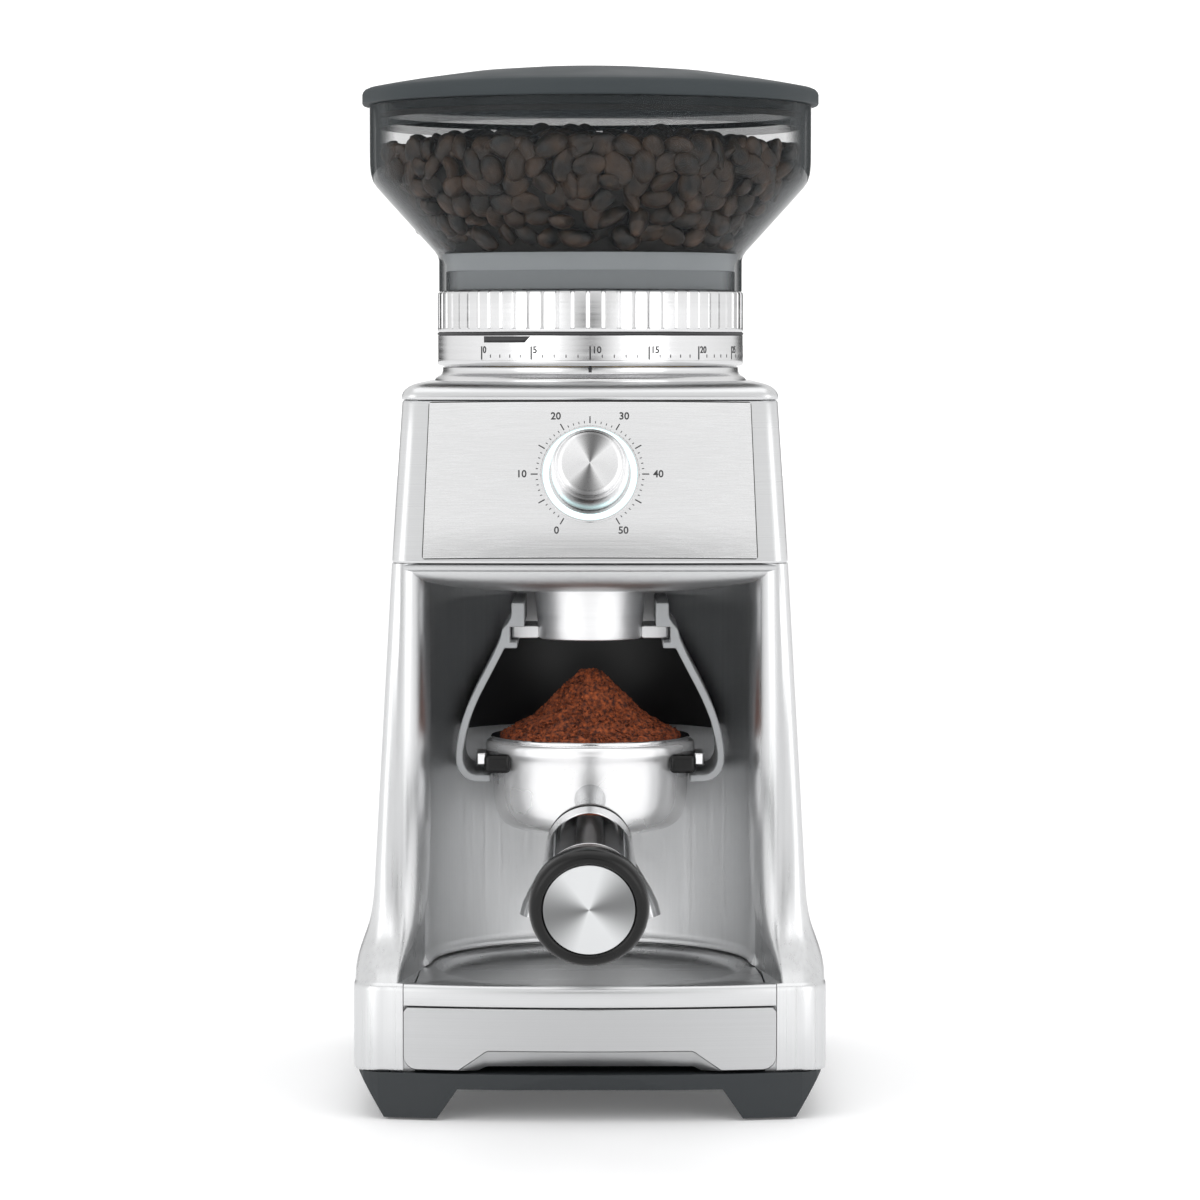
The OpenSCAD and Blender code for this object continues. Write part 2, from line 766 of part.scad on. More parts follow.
module timer_knob() {
    color(bright) on_panel() rotate([90, 0, 0]) difference() {
        rotate_extrude() polygon([
            [0, knob_gap], [13, knob_gap], [13, 12.5], [12.2, 14], [11.3, 14.6], [11.3, 16.9], [10.8, 17.5], [0, 17.5]]);
        translate([0, 0, knob_gap - 1]) cylinder(r = plunger_r + running_fit, h = 10.2);
    }
}

// ---- Tray and cradle ----

module grinds_tray() {
    lip_z = plate_top + 0.3;
    color(steel) difference() {
        union() {
            intersection() {
                translate([0, 0, tray_floor]) linear_extrude(base_top - tray_floor)
                    polygon(u_plan(tray_r, tray_r, base_front - 5, recess_y));
                translate([0, base_front + crown_r, 0]) cylinder(r = crown_r - 3, h = 60, $fn = 360);
            }
            crowned_plate(plate_half, lip_z, base_top - lip_z, 4);
        }
        translate([0, recess_y, base_top - 2.2]) cylinder(r = 51, h = 5);
        translate([0, recess_y, base_top - 4]) cylinder(r = 47, h = 5);
    }
}

// Right half of the cradle's front outline, outside and then inside
cradle_half = [
    [27, 172.4], [27, 167], [30.2, 163.2], [30.7, 160.4], [36.2, 149], [40.4, 140.8], [43.8, 132.5],
    [45.8, 123.8], [46.2, 119.2], [45.6, 115.1], [43.5, 112.3], [39.8, 110.8], [34.4, 110.8],
    [34.4, 113.2], [39.3, 113.2], [42, 114.5], [43.4, 116.5], [43.9, 119.2], [43.4, 123.4],
    [41.5, 131.7], [38.2, 139.8], [34, 148], [29.4, 156.8], [25, 156.8], [25, 158.8],
    [27.6, 158.8], [27.6, 164.1], [22.6, 164.1], [22.6, 172.4]];

module portafilter_cradle() {
    cradle_r = recess_r - 2.5;
    back_wall = [[28, 158.4], [36, 148.9], [40.2, 140.7], [43.4, 132.5], [44, 130], [-44, 130],
                 [-43.4, 132.5], [-40.2, 140.7], [-36, 148.9], [-28, 158.4]];
    color(dark_steel) {
        intersection() {
            mirrored() front_prism(cradle_half, -2, 60);
            translate([0, recess_y, 100]) cylinder(r = cradle_r, h = 90);
        }
        intersection() {
            front_prism(back_wall, recess_y + 18, 70);
            translate([0, recess_y, 100]) tube(cradle_r, cradle_r - 2, 90);
        }
    }
}

// ---- Portafilter ----

// The portafilter's cup with its inside filled
module cup_solid() {
    at_outlet() rotate_extrude() polygon([
        [0, 93], [24.5, 93], [28.8, 94.5], [31.2, 96.8], [32.7, 99.3], [33.6, 104], [34, 113.3],
        [34.8, 114], [35.4, 118.5], [rim_r, 120], [rim_r, cup_top - 0.6], [rim_r - 0.6, cup_top], [0, cup_top]]);
}

module portafilter_head() {
    color(bright) difference() {
        union() {
            cup_solid();
            mirrored() translate([32.5, outlet_y - 8, ear_z]) cube([7.1, 16, 7.2]);
            mirrored() translate([27, outlet_y - 25, ear_z]) cube([9.4, 33, 7.2]);
        }
        at_outlet(98) cylinder(r = 30.6, h = 40);
        at_outlet(118) cylinder(r = 31.6, h = 20);
        at_outlet(90) cylinder(r = 4, h = 20);
    }
}

module filter_basket() {
    color(bright) at_outlet() rotate_extrude() polygon([
        [0, 101], [27, 101], [29.9, 104], [30.4, cup_top], [34.6, cup_top], [34.6, cup_top + 1],
        [29.8, cup_top + 1], [29.2, 104.5], [26.8, 101.7], [0, 101.7]]);
}

module ground_coffee() {
    color([0.42, 0.2, 0.1]) at_outlet() rotate_extrude() polygon([
        [0, 102], [26.5, 102], [28.9, 105], [29.5, cup_top + 1.2], [31.5, cup_top + 1.4], [24, cup_top + 7],
        [12, heap_top - 7], [5, heap_top - 1.5], [0, heap_top]]);
}

module twin_spout() {
    arm = [20, 0, -10];
    color(bright) at_outlet(93) {
        translate([0, 0, -7]) cylinder(r = 8.5, h = 7);
        mirrored() difference() {
            union() {
                translate([0, 0, -7]) rotate([0, 90 + atan2(-arm[2], arm[0]), 0])
                    cylinder(r = 5, h = norm(arm));
                translate([arm[0], 0, arm[2] - 7]) sphere(r = 5.4);
                translate([arm[0], 0, -33]) cylinder(r1 = 4.6, r2 = 5.4, h = 26 + arm[2]);
            }
            translate([arm[0], 0, -34]) cylinder(r = 3.4, h = 16);
        }
    }
}

module portafilter_neck() {
    neck_len = 137;
    color(bright) difference() {
        on_handle() {
            translate([0, 0, 92]) cylinder(r = 6, h = neck_len - 92);
            translate([0, 0, 80]) cylinder(r1 = 12.6, r2 = 6, h = 12);
        }
        cup_solid();
    }
}

// Metal sleeve let into the handle: where it starts from the handle's end, its length and inner radius
sleeve_from = 22;
sleeve_len = 51;
sleeve_in = 12.8;

module portafilter_handle() {
    color(black) on_handle() difference() {
        rotate_extrude() polygon([
            [0, 0], [end_edge_r, 0], [handle_end_r, 1.4], [handle_end_r, 8], [17.6, 12], [15.6, 20],
            [15, 45], [14, 72], [13.8, 80], [0, 80]]);
        translate([0, 0, -1]) cylinder(r = 14.7, h = 3);
        translate([0, 0, sleeve_from]) tube(20, sleeve_in, sleeve_len);
    }
}

module handle_sleeve() {
    color(bright) on_handle(sleeve_from) difference() {
        cylinder(r1 = 15.7, r2 = 14.3, h = sleeve_len);
        translate([0, 0, -1]) cylinder(r = sleeve_in + 0.05, h = sleeve_len + 2);
    }
}

module handle_end_cap() {
    color(steel) on_handle(0.3) cylinder(r = 14.7, h = 1.7);
}

// ---- Nodes ----

base_plate();
rubber_feet();
base_screws();
body_shell();
recess_tub();
recess_liner();
front_plate();
head_shell();
control_panel();
light_ring();
top_cover();
neck_ring();
rear_cover();
cord_gland();
outlet_chute();
cradle_rail();
chassis();
vibration_dampers();
gearbox_case();
gearbox_screws();
grind_chamber();
shaft_bearings();
motor_bracket();
motor_can();
motor_magnets();
motor_bearings();
control_board();
rotary_encoder();
start_switch();
power_board();
scale_ring();
grip_ring();
adjuster_nut();
burr_carrier();
ring_burr();
burr_shaft();
drive_gear();
impeller();
cone_burr();
burr_bolt();
motor_rotor();
motor_pinion();
hopper();
coffee_beans();
hopper_lid();
lid_seal();
knob_plunger();
timer_knob();
grinds_tray();
portafilter_cradle();
portafilter_head();
filter_basket();
ground_coffee();
twin_spout();
portafilter_neck();
portafilter_handle();
handle_sleeve();
handle_end_cap();
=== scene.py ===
"""Looks of the burr coffee grinder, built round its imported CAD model.

Lengths are in millimetres until a mesh is made; the frame is in metres, with +Y to the back and +Z up.
"""
import json
import math
import random

import bmesh
import bpy
from mathutils import Matrix, Vector, noise


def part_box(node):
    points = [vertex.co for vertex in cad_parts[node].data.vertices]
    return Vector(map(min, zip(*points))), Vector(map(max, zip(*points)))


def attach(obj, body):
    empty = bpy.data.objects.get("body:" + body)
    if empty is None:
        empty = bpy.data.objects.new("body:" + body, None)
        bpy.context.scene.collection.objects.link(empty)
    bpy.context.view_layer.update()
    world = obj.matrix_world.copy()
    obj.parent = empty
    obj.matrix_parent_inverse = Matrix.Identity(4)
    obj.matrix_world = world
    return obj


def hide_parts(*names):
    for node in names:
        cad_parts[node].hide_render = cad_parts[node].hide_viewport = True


MM = 0.001
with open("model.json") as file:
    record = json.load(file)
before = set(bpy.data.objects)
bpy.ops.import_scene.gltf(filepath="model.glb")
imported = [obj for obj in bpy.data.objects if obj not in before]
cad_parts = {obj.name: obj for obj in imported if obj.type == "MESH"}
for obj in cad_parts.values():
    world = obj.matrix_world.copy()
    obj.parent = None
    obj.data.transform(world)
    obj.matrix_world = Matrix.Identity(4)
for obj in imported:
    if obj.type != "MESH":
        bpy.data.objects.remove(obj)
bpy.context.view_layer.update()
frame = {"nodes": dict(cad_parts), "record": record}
joints = {j["name"]: j for j in frame["record"]["behaviour"]["joints"]}


def box_mm(node):
    low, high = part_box(node)
    return Vector(low) / MM, Vector(high) / MM


# ---------------------------------------------------------------- driving sizes, most of them from the frame
shell_low, shell_high = box_mm("body_shell")
cover_low, cover_high = box_mm("top_cover")
plate_high = box_mm("front_plate")[1]
BASE_HALF, BASE_FRONT, FOOT_TOP = shell_high.x, shell_low.y, shell_low.z
BASE_CORNER = 10
BASE_TOP = box_mm("grinds_tray")[1].z
BACK = shell_high.y - 0.6  # the rear cover stands this far out of the shell
BACK_CORNER = 28
PLATE_HALF, PLATE_TOP = plate_high.x, plate_high.z
HEAD_Z = shell_high.z
HEAD_BACK = box_mm("head_shell")[1].y
COVER_Z, NECK_Z, COVER_BACK = cover_low.z, cover_high.z, cover_high.y
NECK_BORE = 46
NECK_R = 55.6
COLLAR_BORE = 50.5
BURR_Y = joints["burr_spin"]["pos_m"][1] / MM
KNOB = Vector(joints["knob_turn"]["pos_m"]) / MM
PANEL_OUT = Vector(joints["knob_turn"]["axis"]).normalized()
PANEL_UP = Vector((0, PANEL_OUT.z, -PANEL_OUT.y))
PANEL_LOW, PANEL_HIGH = -28.9, 25.2
PANEL_HALF_LOW, PANEL_HALF_HIGH = 56.5, 54.6
OUTLET_Y = 17.0
BURR_AXIS = (0, BURR_Y)
OUTLET_AXIS = (0, OUTLET_Y)
RECESS_Y = 9.0
RECESS_R = 56.0
RECESS_FRONT = (67.5, -60.0)
CROWN = 6.5
PANEL_CROWN = 2.4
WALL_CUT = 3.0
LINER = 1.5
HANDLE_TILT = math.radians(8.7)
HANDLE_END = Vector((0, -150.1, 85.6))
SHARP = 38.0
rng = random.Random(7)


# ---------------------------------------------------------------- mesh helpers
def make(name, verts, faces, sharp=SHARP, fix_normals=True):
    """A linked mesh object from millimetre points, smooth but for edges over the sharp angle."""
    mesh = bpy.data.meshes.new(name)
    mesh.from_pydata([tuple(c * MM for c in v) for v in verts], [], faces)
    if fix_normals:
        work = bmesh.new()
        work.from_mesh(mesh)
        bmesh.ops.remove_doubles(work, verts=work.verts, dist=2e-6)
        bmesh.ops.recalc_face_normals(work, faces=work.faces)
        work.to_mesh(mesh)
        work.free()
    mesh.shade_smooth()
    mesh.set_sharp_from_angle(angle=math.radians(sharp))
    obj = bpy.data.objects.new(name, mesh)
    bpy.context.collection.objects.link(obj)
    return obj


def piece(obj, body, slot, nodes=(), material=None):
    """Gives a piece its finish, its body and the CAD nodes that it stands for."""
    obj.data.materials.clear()
    obj.data.materials.append(material or MATERIALS[slot])
    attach(obj, body)
    if nodes:
        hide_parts(*nodes)
    return obj


def soften(obj, width, segments, angle):
    """Rounds an object's edges that are sharper than an angle."""
    bevel = obj.modifiers.new("bevel", "BEVEL")
    bevel.width = width * MM
    bevel.segments = segments
    bevel.limit_method = "ANGLE"
    bevel.angle_limit = math.radians(angle)
    bevel.use_clamp_overlap = True
    bevel.harden_normals = False
    weighted = obj.modifiers.new("weighted", "WEIGHTED_NORMAL")
    weighted.keep_sharp = True


def grid_faces(rows, columns, wrap_rows=False, wrap_columns=False):
    faces = []
    for i in range(rows if wrap_rows else rows - 1):
        for j in range(columns if wrap_columns else columns - 1):
            a, b = i, (i + 1) % rows
            c, d = j, (j + 1) % columns
            faces.append((a * columns + c, a * columns + d, b * columns + d, b * columns + c))
    return faces


def ring_faces(rows, count, closed=False, caps=False):
    """Faces between rings of points; closed joins the last ring to the first, and caps fills both ends."""
    faces = grid_faces(rows, count, wrap_rows=closed, wrap_columns=True)
    if caps:
        faces.append(tuple(range(count))[::-1])
        faces.append(tuple(range((rows - 1) * count, rows * count)))
    return faces


def flat(rings):
    return [point for ring in rings for point in ring]


def loft(name, rings, sharp=SHARP):
    """Skin through rings with the same number of points, with both ends filled."""
    return make(name, flat(rings), ring_faces(len(rings), len(rings[0]), caps=True), sharp)


def band(name, rings, sharp=SHARP):
    """Skin through rings that also joins the last one to the first."""
    return make(name, flat(rings), ring_faces(len(rings), len(rings[0]), closed=True), sharp)


def bored(name, rings, radius, sharp=SHARP):
    """Band through the rings, closed by a round hole down through them on the burr axis."""
    rings = list(rings)
    for z in (rings[-1][0][2], rings[0][0][2]):
        away = [Vector((x, y - BURR_Y)).normalized() * radius for x, y, _ in rings[-1]]
        rings.append([(v.x, BURR_Y + v.y, z) for v in away])
    return band(name, rings, sharp)


def turns(count):
    """Angles of a full turn in equal steps."""
    return [2 * math.pi * k / count for k in range(count)]


def circle(centre, r, z, segments):
    return [(centre[0] + r * math.cos(a), centre[1] + r * math.sin(a), z) for a in turns(segments)]


def revolve(name, profile, centre=(0, 0), segments=128, closed=False, sharp=SHARP):
    """Turns (radius, height) points about a vertical axis; closed joins the last point to the first."""
    rings = [circle(centre, r, z, segments) for r, z in profile]
    return make(name, flat(rings), ring_faces(len(rings), segments, closed), sharp)


def mirrored(right):
    """Closed outline from its right half, whose two ends lie on the middle plane."""
    return right + [(-p[0], *p[1:]) for p in right[-2:0:-1]]


def arc(cx, cy, r, start, end, steps):
    return [(cx + r * math.cos(math.radians(start + (end - start) * k / steps)),
             cy + r * math.sin(math.radians(start + (end - start) * k / steps))) for k in range(steps + 1)]


def line(a, b, steps, skip_first=False):
    points = [tuple(a[i] + (b[i] - a[i]) * k / steps for i in range(len(a))) for k in range(steps + 1)]
    return points[1:] if skip_first else points


def smooth_row(table, key):
    """Row of a table at key, from a cubic through its rows; the first column is the key."""
    last = len(table) - 1
    i = max(k for k in range(last) if table[k][0] <= key)
    a, b = table[i], table[i + 1]
    h = b[0] - a[0]
    t = (key - a[0]) / h

    def slope(k):
        low, high = table[max(k - 1, 0)], table[min(k + 1, last)]
        return [(q - p) / (high[0] - low[0]) for p, q in zip(low, high)]

    rise_a, rise_b = slope(i), slope(i + 1)
    return [(2 * t**3 - 3 * t**2 + 1) * p + (t**3 - 2 * t**2 + t) * h * m
            + (3 * t**2 - 2 * t**3) * q + (t**3 - t**2) * h * n
            for p, q, m, n in zip(a, b, rise_a, rise_b)]


def prism_y(name, outline, front, back):
    """Closed (x, z) outline from one Y value to another; back may be a function of x."""
    far = back if callable(back) else lambda x: back
    return loft(name, [[(x, front, z) for x, z in outline], [(x, far(x), z) for x, z in outline]])


def tube_along(name, path, radii, segments=24):
    """Round tube through points in an XZ plane, with a radius for each."""
    across = Vector((1, 0, 0))
    points = [Vector(p) for p in path]
    rings = []
    for i, (point, radius) in enumerate(zip(points, radii)):
        ahead = (points[min(i + 1, len(points) - 1)] - points[max(i - 1, 0)]).normalized()
        side = (across - ahead * across.dot(ahead)).normalized()
        other = ahead.cross(side)
        rings.append([point + (side * math.cos(a) + other * math.sin(a)) * radius for a in turns(segments)])
    return loft(name, rings)


def join(name, objects, sharp=None):
    """One object from several; with sharp, it's smoothed again but for edges over that angle."""
    work = bmesh.new()
    for obj in objects:
        work.from_mesh(obj.data)
        bpy.data.objects.remove(obj, do_unlink=True)
    merged = bpy.data.meshes.new(name)
    work.to_mesh(merged)
    work.free()
    if sharp:
        merged.shade_smooth()
        merged.set_sharp_from_angle(angle=math.radians(sharp))
    result = bpy.data.objects.new(name, merged)
    bpy.context.collection.objects.link(result)
    return result


# ---------------------------------------------------------------- materials
def feed(node, inputs):
    """Fills a node's sockets: a value is written, and another node's output is linked."""
    for socket, value in inputs.items():
        if isinstance(value, bpy.types.NodeSocket):
            node.id_data.links.new(value, node.inputs[socket])
        else:
            node.inputs[socket].default_value = value
    return node


def add_node(tree, kind, inputs, **settings):
    node = tree.nodes.new(kind)
    for name, value in settings.items():
        setattr(node, name, value)
    return feed(node, inputs)


def maths(tree, operation, *values):
    return add_node(tree, "ShaderNodeMath", dict(enumerate(values)), operation=operation).outputs[0]


def new_material(name):
    material = bpy.data.materials.new(name)
    material.use_nodes = True
    tree = material.node_tree
    tree.nodes.clear()
    shader = tree.nodes.new("ShaderNodeBsdfPrincipled")
    add_node(tree, "ShaderNodeOutputMaterial", {"Surface": shader.outputs["BSDF"]})
    return material, tree, shader


def scaled_coordinates(tree, scale):
    coordinates = tree.nodes.new("ShaderNodeTexCoord")
    mapping = add_node(tree, "ShaderNodeMapping", {"Vector": coordinates.outputs["Object"], "Scale": scale})
    return mapping.outputs["Vector"]


def noise_value(tree, scale, detail=3.0):
    """Noise whose scale is one number, or one for each of X, Y and Z."""
    if not isinstance(scale, tuple):
        scale = (scale, scale, scale)
    inputs = {"Vector": scaled_coordinates(tree, scale), "Scale": 1.0, "Detail": detail}
    return add_node(tree, "ShaderNodeTexNoise", inputs).outputs["Fac"]


def remap(tree, value, low, high, from_low=0.3, from_high=0.7):
    inputs = {"Value": value, "From Min": from_low, "From Max": from_high, "To Min": low, "To Max": high}
    return add_node(tree, "ShaderNodeMapRange", inputs).outputs["Result"]


def bump(tree, value, strength, distance):
    inputs = {"Height": value, "Strength": strength, "Distance": distance}
    return add_node(tree, "ShaderNodeBump", inputs).outputs["Normal"]


def mixed(tree, value, colour, darkness, low=0.3, high=0.7):
    """A colour, and a darker one where the value is low. darkness is a factor or a colour of its own."""
    dark = darkness if isinstance(darkness, tuple) else tuple(c * darkness for c in colour)
    ramp = add_node(tree, "ShaderNodeValToRGB", {"Fac": value})
    for element, position, shade in zip(ramp.color_ramp.elements, (low, high), (dark, colour)):
        element.position = position
        element.color = (*shade, 1)
    return ramp.outputs["Color"]


def brushed(name, colour, roughness, lines, spread=0.07, depth=0.04):
    """Brushed metal. lines is how fast the brushing changes along X, Y and Z, per metre."""
    material, tree, shader = new_material(name)
    streaks = noise_value(tree, lines, detail=4.0)
    feed(shader, {
        "Metallic": 1.0,
        "Base Color": mixed(tree, streaks, colour, 0.94),
        "Roughness": remap(tree, streaks, roughness - spread, roughness + spread),
        "Normal": bump(tree, streaks, depth, 0.0002)})
    return material


def spun(name, colour, roughness, painted_wedge_darkness, start, reach):
    """Metal turned about the object's own Z axis: fine rings, and a painted sheen, two darker and two lighter
    wedges painted into the colour by the angle round the axis, standing in for the reflection that fans out
    from the middle.

    The argument after roughness is how dark the two painted shade wedges get, start turns them, in radians,
    and reach is how wide they are.
    """
    material, tree, shader = new_material(name)
    tangent = add_node(tree, "ShaderNodeTangent", {}, direction_type="RADIAL", axis="Z")
    place = add_node(tree, "ShaderNodeSeparateXYZ", {"Vector": scaled_coordinates(tree, (1, 1, 1))})
    angle = maths(tree, "ARCTAN2", place.outputs["Y"], place.outputs["X"])
    # Painted sheen: the colour darkens in two wedges by the angle round the axis, standing in for reflection.
    painted_sheen_wave = maths(tree, "COSINE", maths(tree, "MULTIPLY", maths(tree, "ADD", angle, start), 2.0))
    rings = noise_value(tree, 2500, detail=2.0)
    feed(shader, {
        "Metallic": 1.0,
        "Anisotropic": 0.7,
        "Tangent": tangent.outputs["Tangent"],
        "Base Color": mixed(tree, remap(tree, painted_sheen_wave, 0.0, 1.0, -1.0, 1.0), colour, painted_wedge_darkness, *reach),
        "Roughness": remap(tree, rings, roughness - 0.04, roughness + 0.04)})
    return material


def polished(name, colour, roughness, metallic=1.0):
    material, tree, shader = new_material(name)
    smears = noise_value(tree, 30)
    feed(shader, {
        "Metallic": metallic,
        "Base Color": mixed(tree, smears, colour, 0.96),
        "Roughness": remap(tree, smears, roughness * 0.7, roughness * 1.3)})
    return material


def moulded(name, colour, roughness, grain=900, depth=0.05, coat=0.0, variation=0.85, specular=0.5):
    """Plastic or rubber with a fine grain."""
    material, tree, shader = new_material(name)
    broad = noise_value(tree, 25)
    feed(shader, {
        "Base Color": mixed(tree, broad, colour, variation),
        "Roughness": remap(tree, broad, roughness * 0.9, roughness * 1.1),
        "Normal": bump(tree, noise_value(tree, grain, detail=2.0), depth, 0.0003),
        "Coat Weight": coat,
        "Coat Roughness": 0.06,
        "Specular IOR Level": specular})
    return material


def smoky(name, colour, alpha, roughness, edge=None):
    """Tinted see-through plastic. With edge, it's as dense as that where it's seen along its wall."""
    material, tree, shader = new_material(name)
    haze = noise_value(tree, 18)
    if edge:
        weight = add_node(tree, "ShaderNodeLayerWeight", {"Blend": 0.5})
        alpha = remap(tree, weight.outputs["Facing"], alpha, edge, 0.58, 0.84)
    feed(shader, {
        "Base Color": mixed(tree, haze, colour, 0.9),
        "Roughness": remap(tree, haze, roughness * 0.8, roughness * 1.2),
        "Alpha": alpha,
        "IOR": 1.3,
        "Specular IOR Level": 0.25})
    return material


def glowing(name, colour, strength):
    material, tree, shader = new_material(name)
    feed(shader, {
        "Base Color": mixed(tree, noise_value(tree, 60), colour, 0.95),
        "Roughness": 0.3,
        "Emission Color": (*colour, 1),
        "Emission Strength": strength})
    return material


def roasted(name, dark, light, roughness, grain, depth):
    """Coffee: each patch of it has its own brown, and its own grain."""
    material, tree, shader = new_material(name)
    patches = noise_value(tree, grain)
    feed(shader, {
        "Base Color": mixed(tree, patches, light, dark, 0.35, 0.72),
        "Roughness": remap(tree, patches, roughness - 0.1, roughness + 0.1),
        "Normal": bump(tree, noise_value(tree, grain * 4, detail=4.0), depth, 0.0006)})
    return material


STEEL = (0.66, 0.665, 0.67)
FINE = {"depth": 0.007, "spread": 0.03}
MATERIALS = {
    "slate_plastic": moulded("slate_plastic", (0.016, 0.02, 0.023), 0.55, depth=0.08),
    "rubber": moulded("rubber", (0.02, 0.02, 0.02), 0.75),
    "brushed_shell": brushed("brushed_shell", STEEL, 0.3, (900, 900, 6), depth=0.012, spread=0.04),
    "brushed_liner": brushed("brushed_liner", (0.8, 0.805, 0.81), 0.4, (700, 700, 3), depth=0.02),
    "brushed_panel": brushed("brushed_panel", (0.8, 0.802, 0.806), 0.26, (2.5, 2600, 2600), **FINE),
    "glow": glowing("glow", (0.72, 0.97, 0.98), 0.9),
    "collar_metal": brushed("collar_metal", (0.72, 0.72, 0.725), 0.2, (4, 4, 600)),
    "steel_inner": brushed("steel_inner", (0.5, 0.5, 0.52), 0.35, (4, 4, 500)),
    "black_inner": moulded("black_inner", (0.02, 0.02, 0.02), 0.5),
    "brass": brushed("brass", (0.72, 0.53, 0.24), 0.3, (4, 4, 500)),
    "nylon": moulded("nylon", (0.62, 0.62, 0.58), 0.5),
    "board": moulded("board", (0.02, 0.13, 0.06), 0.35, coat=0.3),
    "smoke_clear": smoky("smoke_clear", (0.035, 0.041, 0.044), 0.15, 0.09, edge=0.97),
    "smoke_lid": smoky("smoke_lid", (0.05, 0.058, 0.062), 0.97, 0.55),
    "beans": roasted("beans", (0.004, 0.003, 0.002), (0.075, 0.042, 0.024), 0.4, 140, 0.5),
    "cradle_plastic": moulded("cradle_plastic", (0.36, 0.37, 0.38), 0.34),
    "chrome": polished("chrome", (0.86, 0.86, 0.865), 0.09),
    "black_gloss": moulded("black_gloss", (0.004, 0.004, 0.004), 0.26, depth=0.01, specular=0.3),
    "ground_coffee": roasted("ground_coffee", (0.05, 0.009, 0.003), (0.46, 0.105, 0.028), 0.85, 700, 0.9),
}
INK = moulded("ink", (0.035, 0.035, 0.037), 0.5)
# The knob and the handle's end disc carry a painted sheen: dark and light wedges painted into their colour.
SPUN_PAINTED_SHEEN = spun("spun_metal_painted_sheen", (0.82, 0.82, 0.825), 0.3, 0.2, 0.15, (0.0, 0.42))
DISC_PAINTED_SHEEN = spun("disc_metal_painted_sheen", (0.66, 0.67, 0.675), 0.34, 0.3, 1.75, (0.0, 0.8))
BROWN_CORE = moulded("bean_core", (0.012, 0.008, 0.006), 0.8)
TRAY_STEEL = brushed("tray_steel", STEEL, 0.32, (2.5, 420, 420))
PLATE_STEEL = brushed("plate_steel", (0.52, 0.525, 0.53), 0.33, (2.5, 2.5, 2400), **FINE)
HEAD_STEEL = brushed("head_steel", STEEL, 0.3, (2.5, 2.5, 2400), **FINE)
CEILING_STEEL = brushed("ceiling_steel", (0.6, 0.605, 0.61), 0.42, (2.5, 420, 420), depth=0.02)
CHUTE_STEEL = brushed("chute_steel", (0.9, 0.9, 0.905), 0.46, (3, 3, 500), depth=0.01)
# The hopper's foot: the same smoked plastic, painted a light grey that stands in for light passing through
# it.
FOOT_SMOKE_PAINTED_LIGHT = smoky("foot_smoke_painted_light", (0.42, 0.445, 0.46), 0.75, 0.3)
SKIRT_SMOKE = smoky("skirt_smoke", (0.06, 0.07, 0.075), 0.35, 0.3, edge=0.8)
# Black of the cradle's hood wall: partly dark plastic, partly painted shade inside the cradle.
HOOD_DARK_AND_SHADE = moulded("hood_dark_plastic_and_shade", (0.012, 0.012, 0.013), 0.4, depth=0.02)
# Cup: partly its polished steel and partly a painted reflection, a light and partly diffuse copy of the
# chrome that keeps it white.
CUP_STEEL_PAINTED_LIGHT = polished("cup_steel_painted_light", (0.9, 0.9, 0.905), 0.24, metallic=0.72)
SPOUT_STEEL = polished("spout_steel", (0.5, 0.505, 0.51), 0.15)
# Neck chrome darkened: painted shade standing in for the dark surroundings that the chrome neck reflects.
CHROME_PAINTED_SHADE = polished("chrome_painted_shade", (0.3, 0.305, 0.31), 0.22)


# ---------------------------------------------------------------- body shell and recess
def wall_x(y):
    """Half width of the recess beside its round back, at y."""
    if y >= RECESS_Y:
        return RECESS_R
    return RECESS_R + (RECESS_FRONT[0] - RECESS_R) * (RECESS_Y - y) / (RECESS_Y - RECESS_FRONT[1])


def bow(x, amount=CROWN):
    """How far the crowned front stands back from its middle, at x."""
    return amount * min(abs(x) / (BASE_HALF - BASE_CORNER), 1.0) ** 2


def front_at(x):
    """Y of the base's crowned front at x."""
    return BASE_FRONT + bow(x)


# z, half width, front, front corner radius, crown, then where the rounding into the recess ends (half width)
# and the width and depth of that rounding
SWEEP = [
    (BASE_TOP, BASE_HALF - 0.4, BASE_FRONT + 1.6, 10, CROWN, 64.6, 0.8, 1.0),
    (50, BASE_HALF - 0.5, BASE_FRONT + 5, 10, 6, 63.6, 1.5, 3),
    (55, BASE_HALF - 1.5, BASE_FRONT + 8.5, 9, 5.5, 61.2, 3.8, 7),
    (60, BASE_HALF - 3.2, BASE_FRONT + 11.5, 8, 5, 58.8, 6.4, 10),
    (65, BASE_HALF - 4.9, BASE_FRONT + 14, 6.5, 4, 56.8, 8.6, 12.5),
    (72, BASE_HALF - 6.2, BASE_FRONT + 17, 5, 2, 55.4, 10.2, 14.5),
    (85, BASE_HALF - 7.1, BASE_FRONT + 19.2, 4, 0.8, 54.6, 11.0, 15.5),
    (110, BASE_HALF - 8.5, BASE_FRONT + 20.2, 3.6, 0.3, 54.4, 10.8, 16),
    (HEAD_Z, BASE_HALF - 12.9, BASE_FRONT + 19.75, 3.2, PANEL_CROWN, 54.4, 9.2, 15)]


